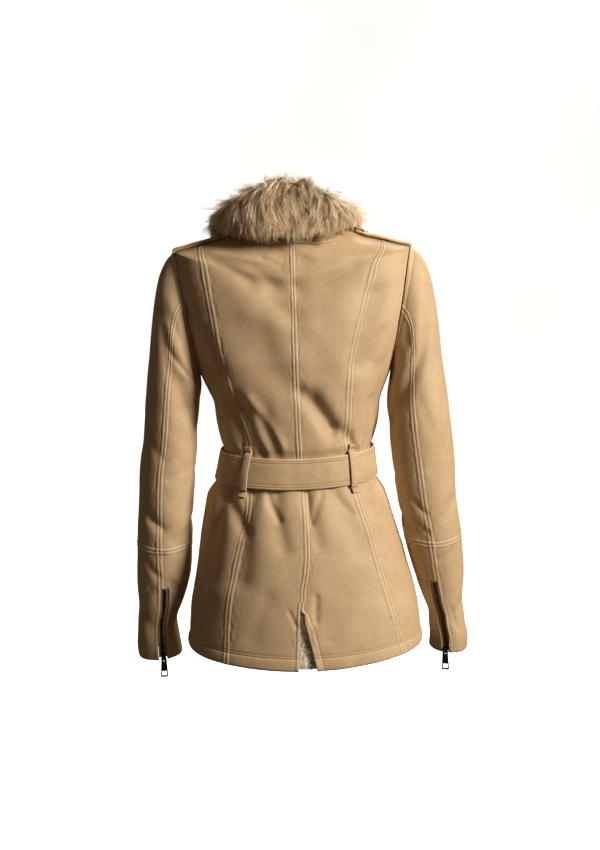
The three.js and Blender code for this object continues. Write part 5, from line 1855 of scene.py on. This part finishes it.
def studio_bowl():
    """A pale floor that curves up into a wall all round."""
    turn = np.linspace(0, math.pi / 2, 14)
    radii = np.concatenate([[0.02, 1, 2.2], 3.4 + 1.8 * np.sin(turn), [5.2, 5.2]])
    heights = np.concatenate([[0, 0, 0], 1.8 * (1 - np.cos(turn)), [3.2, 5.0]]) + FLOOR_Z
    around = np.linspace(0, math.tau, 73)[:-1]
    radii, heights = radii[:, None], heights[:, None] + 0 * around
    points = np.stack([radii * np.cos(around), radii * np.sin(around), heights], -1)
    numbers = np.arange(points[..., 0].size).reshape(points.shape[:2])
    closed = np.concatenate([numbers, numbers[:, :1]], 1)
    faces = grid_faces(closed) + [tuple(int(n) for n in numbers[0])]
    obj = new_mesh("studio_bowl", points.reshape(-1, 3) / MM, faces, [look("studio_paper")])
    obj.visible_diffuse = obj.visible_glossy = False  # or its white would fill the shaded side


def soft_light(name, place, size, power, colour="#FFFFFF"):
    lamp = bpy.data.lights.new(name, "AREA")
    lamp.shape = "DISK"
    lamp.size = size
    lamp.energy = power
    lamp.color = linear(colour)[:3]
    obj = bpy.data.objects.new(name, lamp)
    obj.location = place
    obj.rotation_euler = (Vector(COAT_MIDDLE) - Vector(place)).to_track_quat("-Z", "Y").to_euler()
    obj.visible_camera = False
    bpy.context.scene.collection.objects.link(obj)


def studio_camera():
    data = bpy.data.cameras.new("photograph_view")
    data.lens = CAMERA_LENS
    obj = bpy.data.objects.new("photograph_view", data)
    obj.matrix_world = Matrix.Translation(CAMERA_PLACE)
    for degrees, axis in ((180, "Z"), (90 - CAMERA_PITCH, "X"), (-CAMERA_ROLL, "Z")):
        obj.matrix_world = obj.matrix_world @ Matrix.Rotation(math.radians(degrees), 4, axis)
    bpy.context.scene.collection.objects.link(obj)
    bpy.context.scene.camera = obj


def studio_world(strength):
    """Warm even light all round, and tones that are neither lifted nor flattened."""
    bpy.context.scene.view_settings.view_transform = "Standard"
    world = bpy.data.worlds.new("studio_air")
    world.use_nodes = True
    air = world.node_tree.nodes["Background"]
    fill(world.node_tree, air, {"Color": linear("#FFE6C8"), "Strength": strength})
    bpy.context.scene.world = world


# Settings


def colour_setting(name, description, default):
    return FloatVectorProperty(
        name=name, description=description, default=linear(default)[:3], subtype="COLOR",
        size=3, min=0, max=1,
    )


def number_setting(name, description, default, **more):
    return FloatProperty(name=name, description=description, default=default, min=0.0, **more)


def length_setting(name, description, default):
    return number_setting(name, description, default, unit="LENGTH", precision=4)


def power_setting(name, description, default):
    return number_setting(name, description, default, unit="POWER")


class CoatCloth(PropertyGroup):
    hide: colour_setting("Hide", "Main colour of the tanned hide", "#CAAF8B")
    deep: colour_setting("Deep hide", "Where the dye took deepest", "#C4A882")
    pale: colour_setting("Pale hide", "Where the dye is palest", "#D1B791")
    wool: colour_setting("Wool", "The wool side of the sheepskin", "#F1E8D9")
    fur_root: colour_setting("Fur roots", "The fur next to the hide", "#DDC094")
    fur_middle: colour_setting("Fur", "The middle of each hair", "#F6E0BA")
    fur_tip: colour_setting("Fur tips", "The sun-paled ends of the hairs", "#FFF2D8")
    lock_length: length_setting("Lock length", "Length of the collar's longest locks", 0.041)
    lock_density: number_setting("Locks", "Locks of fur on each square metre", 52000.0)
    lock_lift: number_setting("Lock lift", "How far the locks stand up from the hide", 0.03)


class CoatTrim(PropertyGroup):
    thread: colour_setting("Thread", "Colour of the sewing thread", "#9C825D")
    tape: colour_setting("Zip tape", "Colour of the woven zip tape", "#C2A683")
    metal: colour_setting("Metal", "Colour of the antiqued metal", "#4A423C")
    stitch_pitch: length_setting("Stitch pitch", "From the start of a stitch to the next", 0.0036)
    stitch_length: length_setting("Stitch length", "Length of the thread that shows", 0.0029)
    thread_width: length_setting("Thread width", "Width of the thread, drawn coarse", 0.0011)
    tooth_pitch: length_setting("Tooth pitch", "From one zip tooth to the next on its side", 0.0026)
    metal_edge: length_setting("Metal edge", "Rounding of the metal parts' edges", 0.0003)


class CoatStudio(PropertyGroup):
    key_power: power_setting("Key light", "Power of the main soft light", 214.0)
    fill_power: power_setting("Fill light", "Power of the weak light opposite it", 0.6)
    front_power: power_setting("Front light", "Power of the light on the coat's front", 110.0)
    air_strength: number_setting("Air", "Strength of the even light all round", 0.09)
    paper_glow: number_setting("Paper", "How brightly the background paper is lit by itself", 0.75)


# Operators


class COAT_OT_body(Operator):
    """Makes the coat's body panels and the wool flap behind the vent"""

    bl_idname = "coat.body"
    bl_label = "Body Panels"

    def execute(self, context):
        for name, cloth in body_cloths().items():
            first = FACING_LINES if name == "back_centre_right" else EDGE_LINES
            cloth_piece(name, cloth, rows_of(name), (first, EDGE_LINES))
        vent_underlap()
        return {"FINISHED"}


class COAT_OT_sleeves(Operator):
    """Makes the eight pieces of the two sleeves"""

    bl_idname = "coat.sleeves"
    bl_label = "Sleeves"

    def execute(self, context):
        for side in SIDES:
            for name, cloth in sleeve_cloths(side).items():
                cloth_piece(name, cloth, rows_of(name))
        return {"FINISHED"}


class COAT_OT_belt(Operator):
    """Makes the belt with its frame and the two loops that hold it"""

    bl_idname = "coat.belt"
    bl_label = "Belt"

    def execute(self, context):
        belt()
        for side in SIDES:
            belt_loop(side)
        polished("belt_buckle", "coat", "gunmetal_plating", context.scene.coat_trim.metal_edge * 2)
        return {"FINISHED"}


class COAT_OT_straps(Operator):
    """Makes the shoulder straps and their snaps"""

    bl_idname = "coat.straps"
    bl_label = "Shoulder Straps"

    def execute(self, context):
        for side in SIDES:
            shoulder_strap(side)
            edge = context.scene.coat_trim.metal_edge
            polished("strap_snap_" + side, "coat", "nickel_plating", edge)
        return {"FINISHED"}


class COAT_OT_zips(Operator):
    """Makes the zips: tapes, rows of teeth, sliders and pulls"""

    bl_idname = "coat.zips"
    bl_label = "Zips"

    def execute(self, context):
        trim = context.scene.coat_trim
        for name in zip_runs():
            zip_tape(name)
            zip_teeth(name, trim)
        for pulled, hinged in (
            ("cuff_left", "cuff_pull_left"), ("cuff_right", "cuff_pull_right"),
            ("front", "front_pull"),
        ):
            polished(pulled + "_slider", "coat", "gunmetal_plating", trim.metal_edge)
            polished(pulled + "_pull", hinged, "gunmetal_plating", trim.metal_edge)
        return {"FINISHED"}


class COAT_OT_collar(Operator):
    """Makes the fur collar: its hide, the long hair, and the curly wool that shows elsewhere"""

    bl_idname = "coat.collar"
    bl_label = "Fur and Wool"

    def execute(self, context):
        neck_band()
        collar_base()
        collar_fur(context.scene.coat_cloth)
        wool_curls()
        return {"FINISHED"}


class COAT_OT_stitching(Operator):
    """Sews the stitches along the seams, the hem, the belt and the straps"""

    bl_idname = "coat.stitching"
    bl_label = "Stitching"

    def execute(self, context):
        trim = context.scene.coat_trim
        stitching("body", body_stitches(), trim)
        stitching("sleeves", sleeve_stitches("left") + sleeve_stitches("right"), trim)
        stitching("belt_and_straps", belt_stitches() + strap_stitches(), trim)
        return {"FINISHED"}


class COAT_OT_studio(Operator):
    """Sets up the pale floor, the soft lights and the camera"""

    bl_idname = "coat.studio"
    bl_label = "Studio"

    def execute(self, context):
        studio = context.scene.coat_studio
        studio_camera()
        studio_bowl()
        studio_world(studio.air_strength)
        soft_light("key_light", (-2.75, 2.0, 1.25), 1.2, studio.key_power, "#FFFCF7")
        soft_light("fill_light", (2.4, 2.2, 0.2), 1.8, studio.fill_power)
        soft_light("front_light", (-0.9, -2.8, 1.7), 1.2, studio.front_power, "#FFFCF7")
        return {"FINISHED"}


class COAT_PT_panel(Panel):
    """Lists the coat's pieces and their settings in the sidebar"""

    bl_idname = "COAT_PT_panel"
    bl_label = "Shearling Coat"
    bl_space_type = "VIEW_3D"
    bl_region_type = "UI"
    bl_category = "Coat"

    def draw(self, context):
        for operator in OPERATORS:
            self.layout.operator(operator.bl_idname)
        for settings in (getattr(context.scene, name) for name in SETTINGS):
            box = self.layout.box()
            for name in type(settings).__annotations__:
                box.prop(settings, name)


OPERATORS = (
    COAT_OT_body, COAT_OT_sleeves, COAT_OT_belt, COAT_OT_straps, COAT_OT_zips, COAT_OT_collar,
    COAT_OT_stitching, COAT_OT_studio,
)
SETTINGS = {"coat_cloth": CoatCloth, "coat_trim": CoatTrim, "coat_studio": CoatStudio}


def register():
    for cls in (*SETTINGS.values(), *OPERATORS, COAT_PT_panel):
        bpy.utils.register_class(cls)
    for name, cls in SETTINGS.items():
        setattr(bpy.types.Scene, name, PointerProperty(type=cls))


def unregister():
    for name in SETTINGS:
        delattr(bpy.types.Scene, name)
    for cls in (COAT_PT_panel, *reversed(OPERATORS), *reversed(SETTINGS.values())):
        bpy.utils.unregister_class(cls)


def main():
    """Makes the whole coat."""
    register()
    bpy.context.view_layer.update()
    bpy.ops.coat.studio()
    bpy.ops.coat.body()
    bpy.ops.coat.sleeves()
    bpy.ops.coat.belt()
    bpy.ops.coat.straps()
    bpy.ops.coat.zips()
    bpy.ops.coat.collar()
    bpy.ops.coat.stitching()


if __name__ == "__main__":
    main()
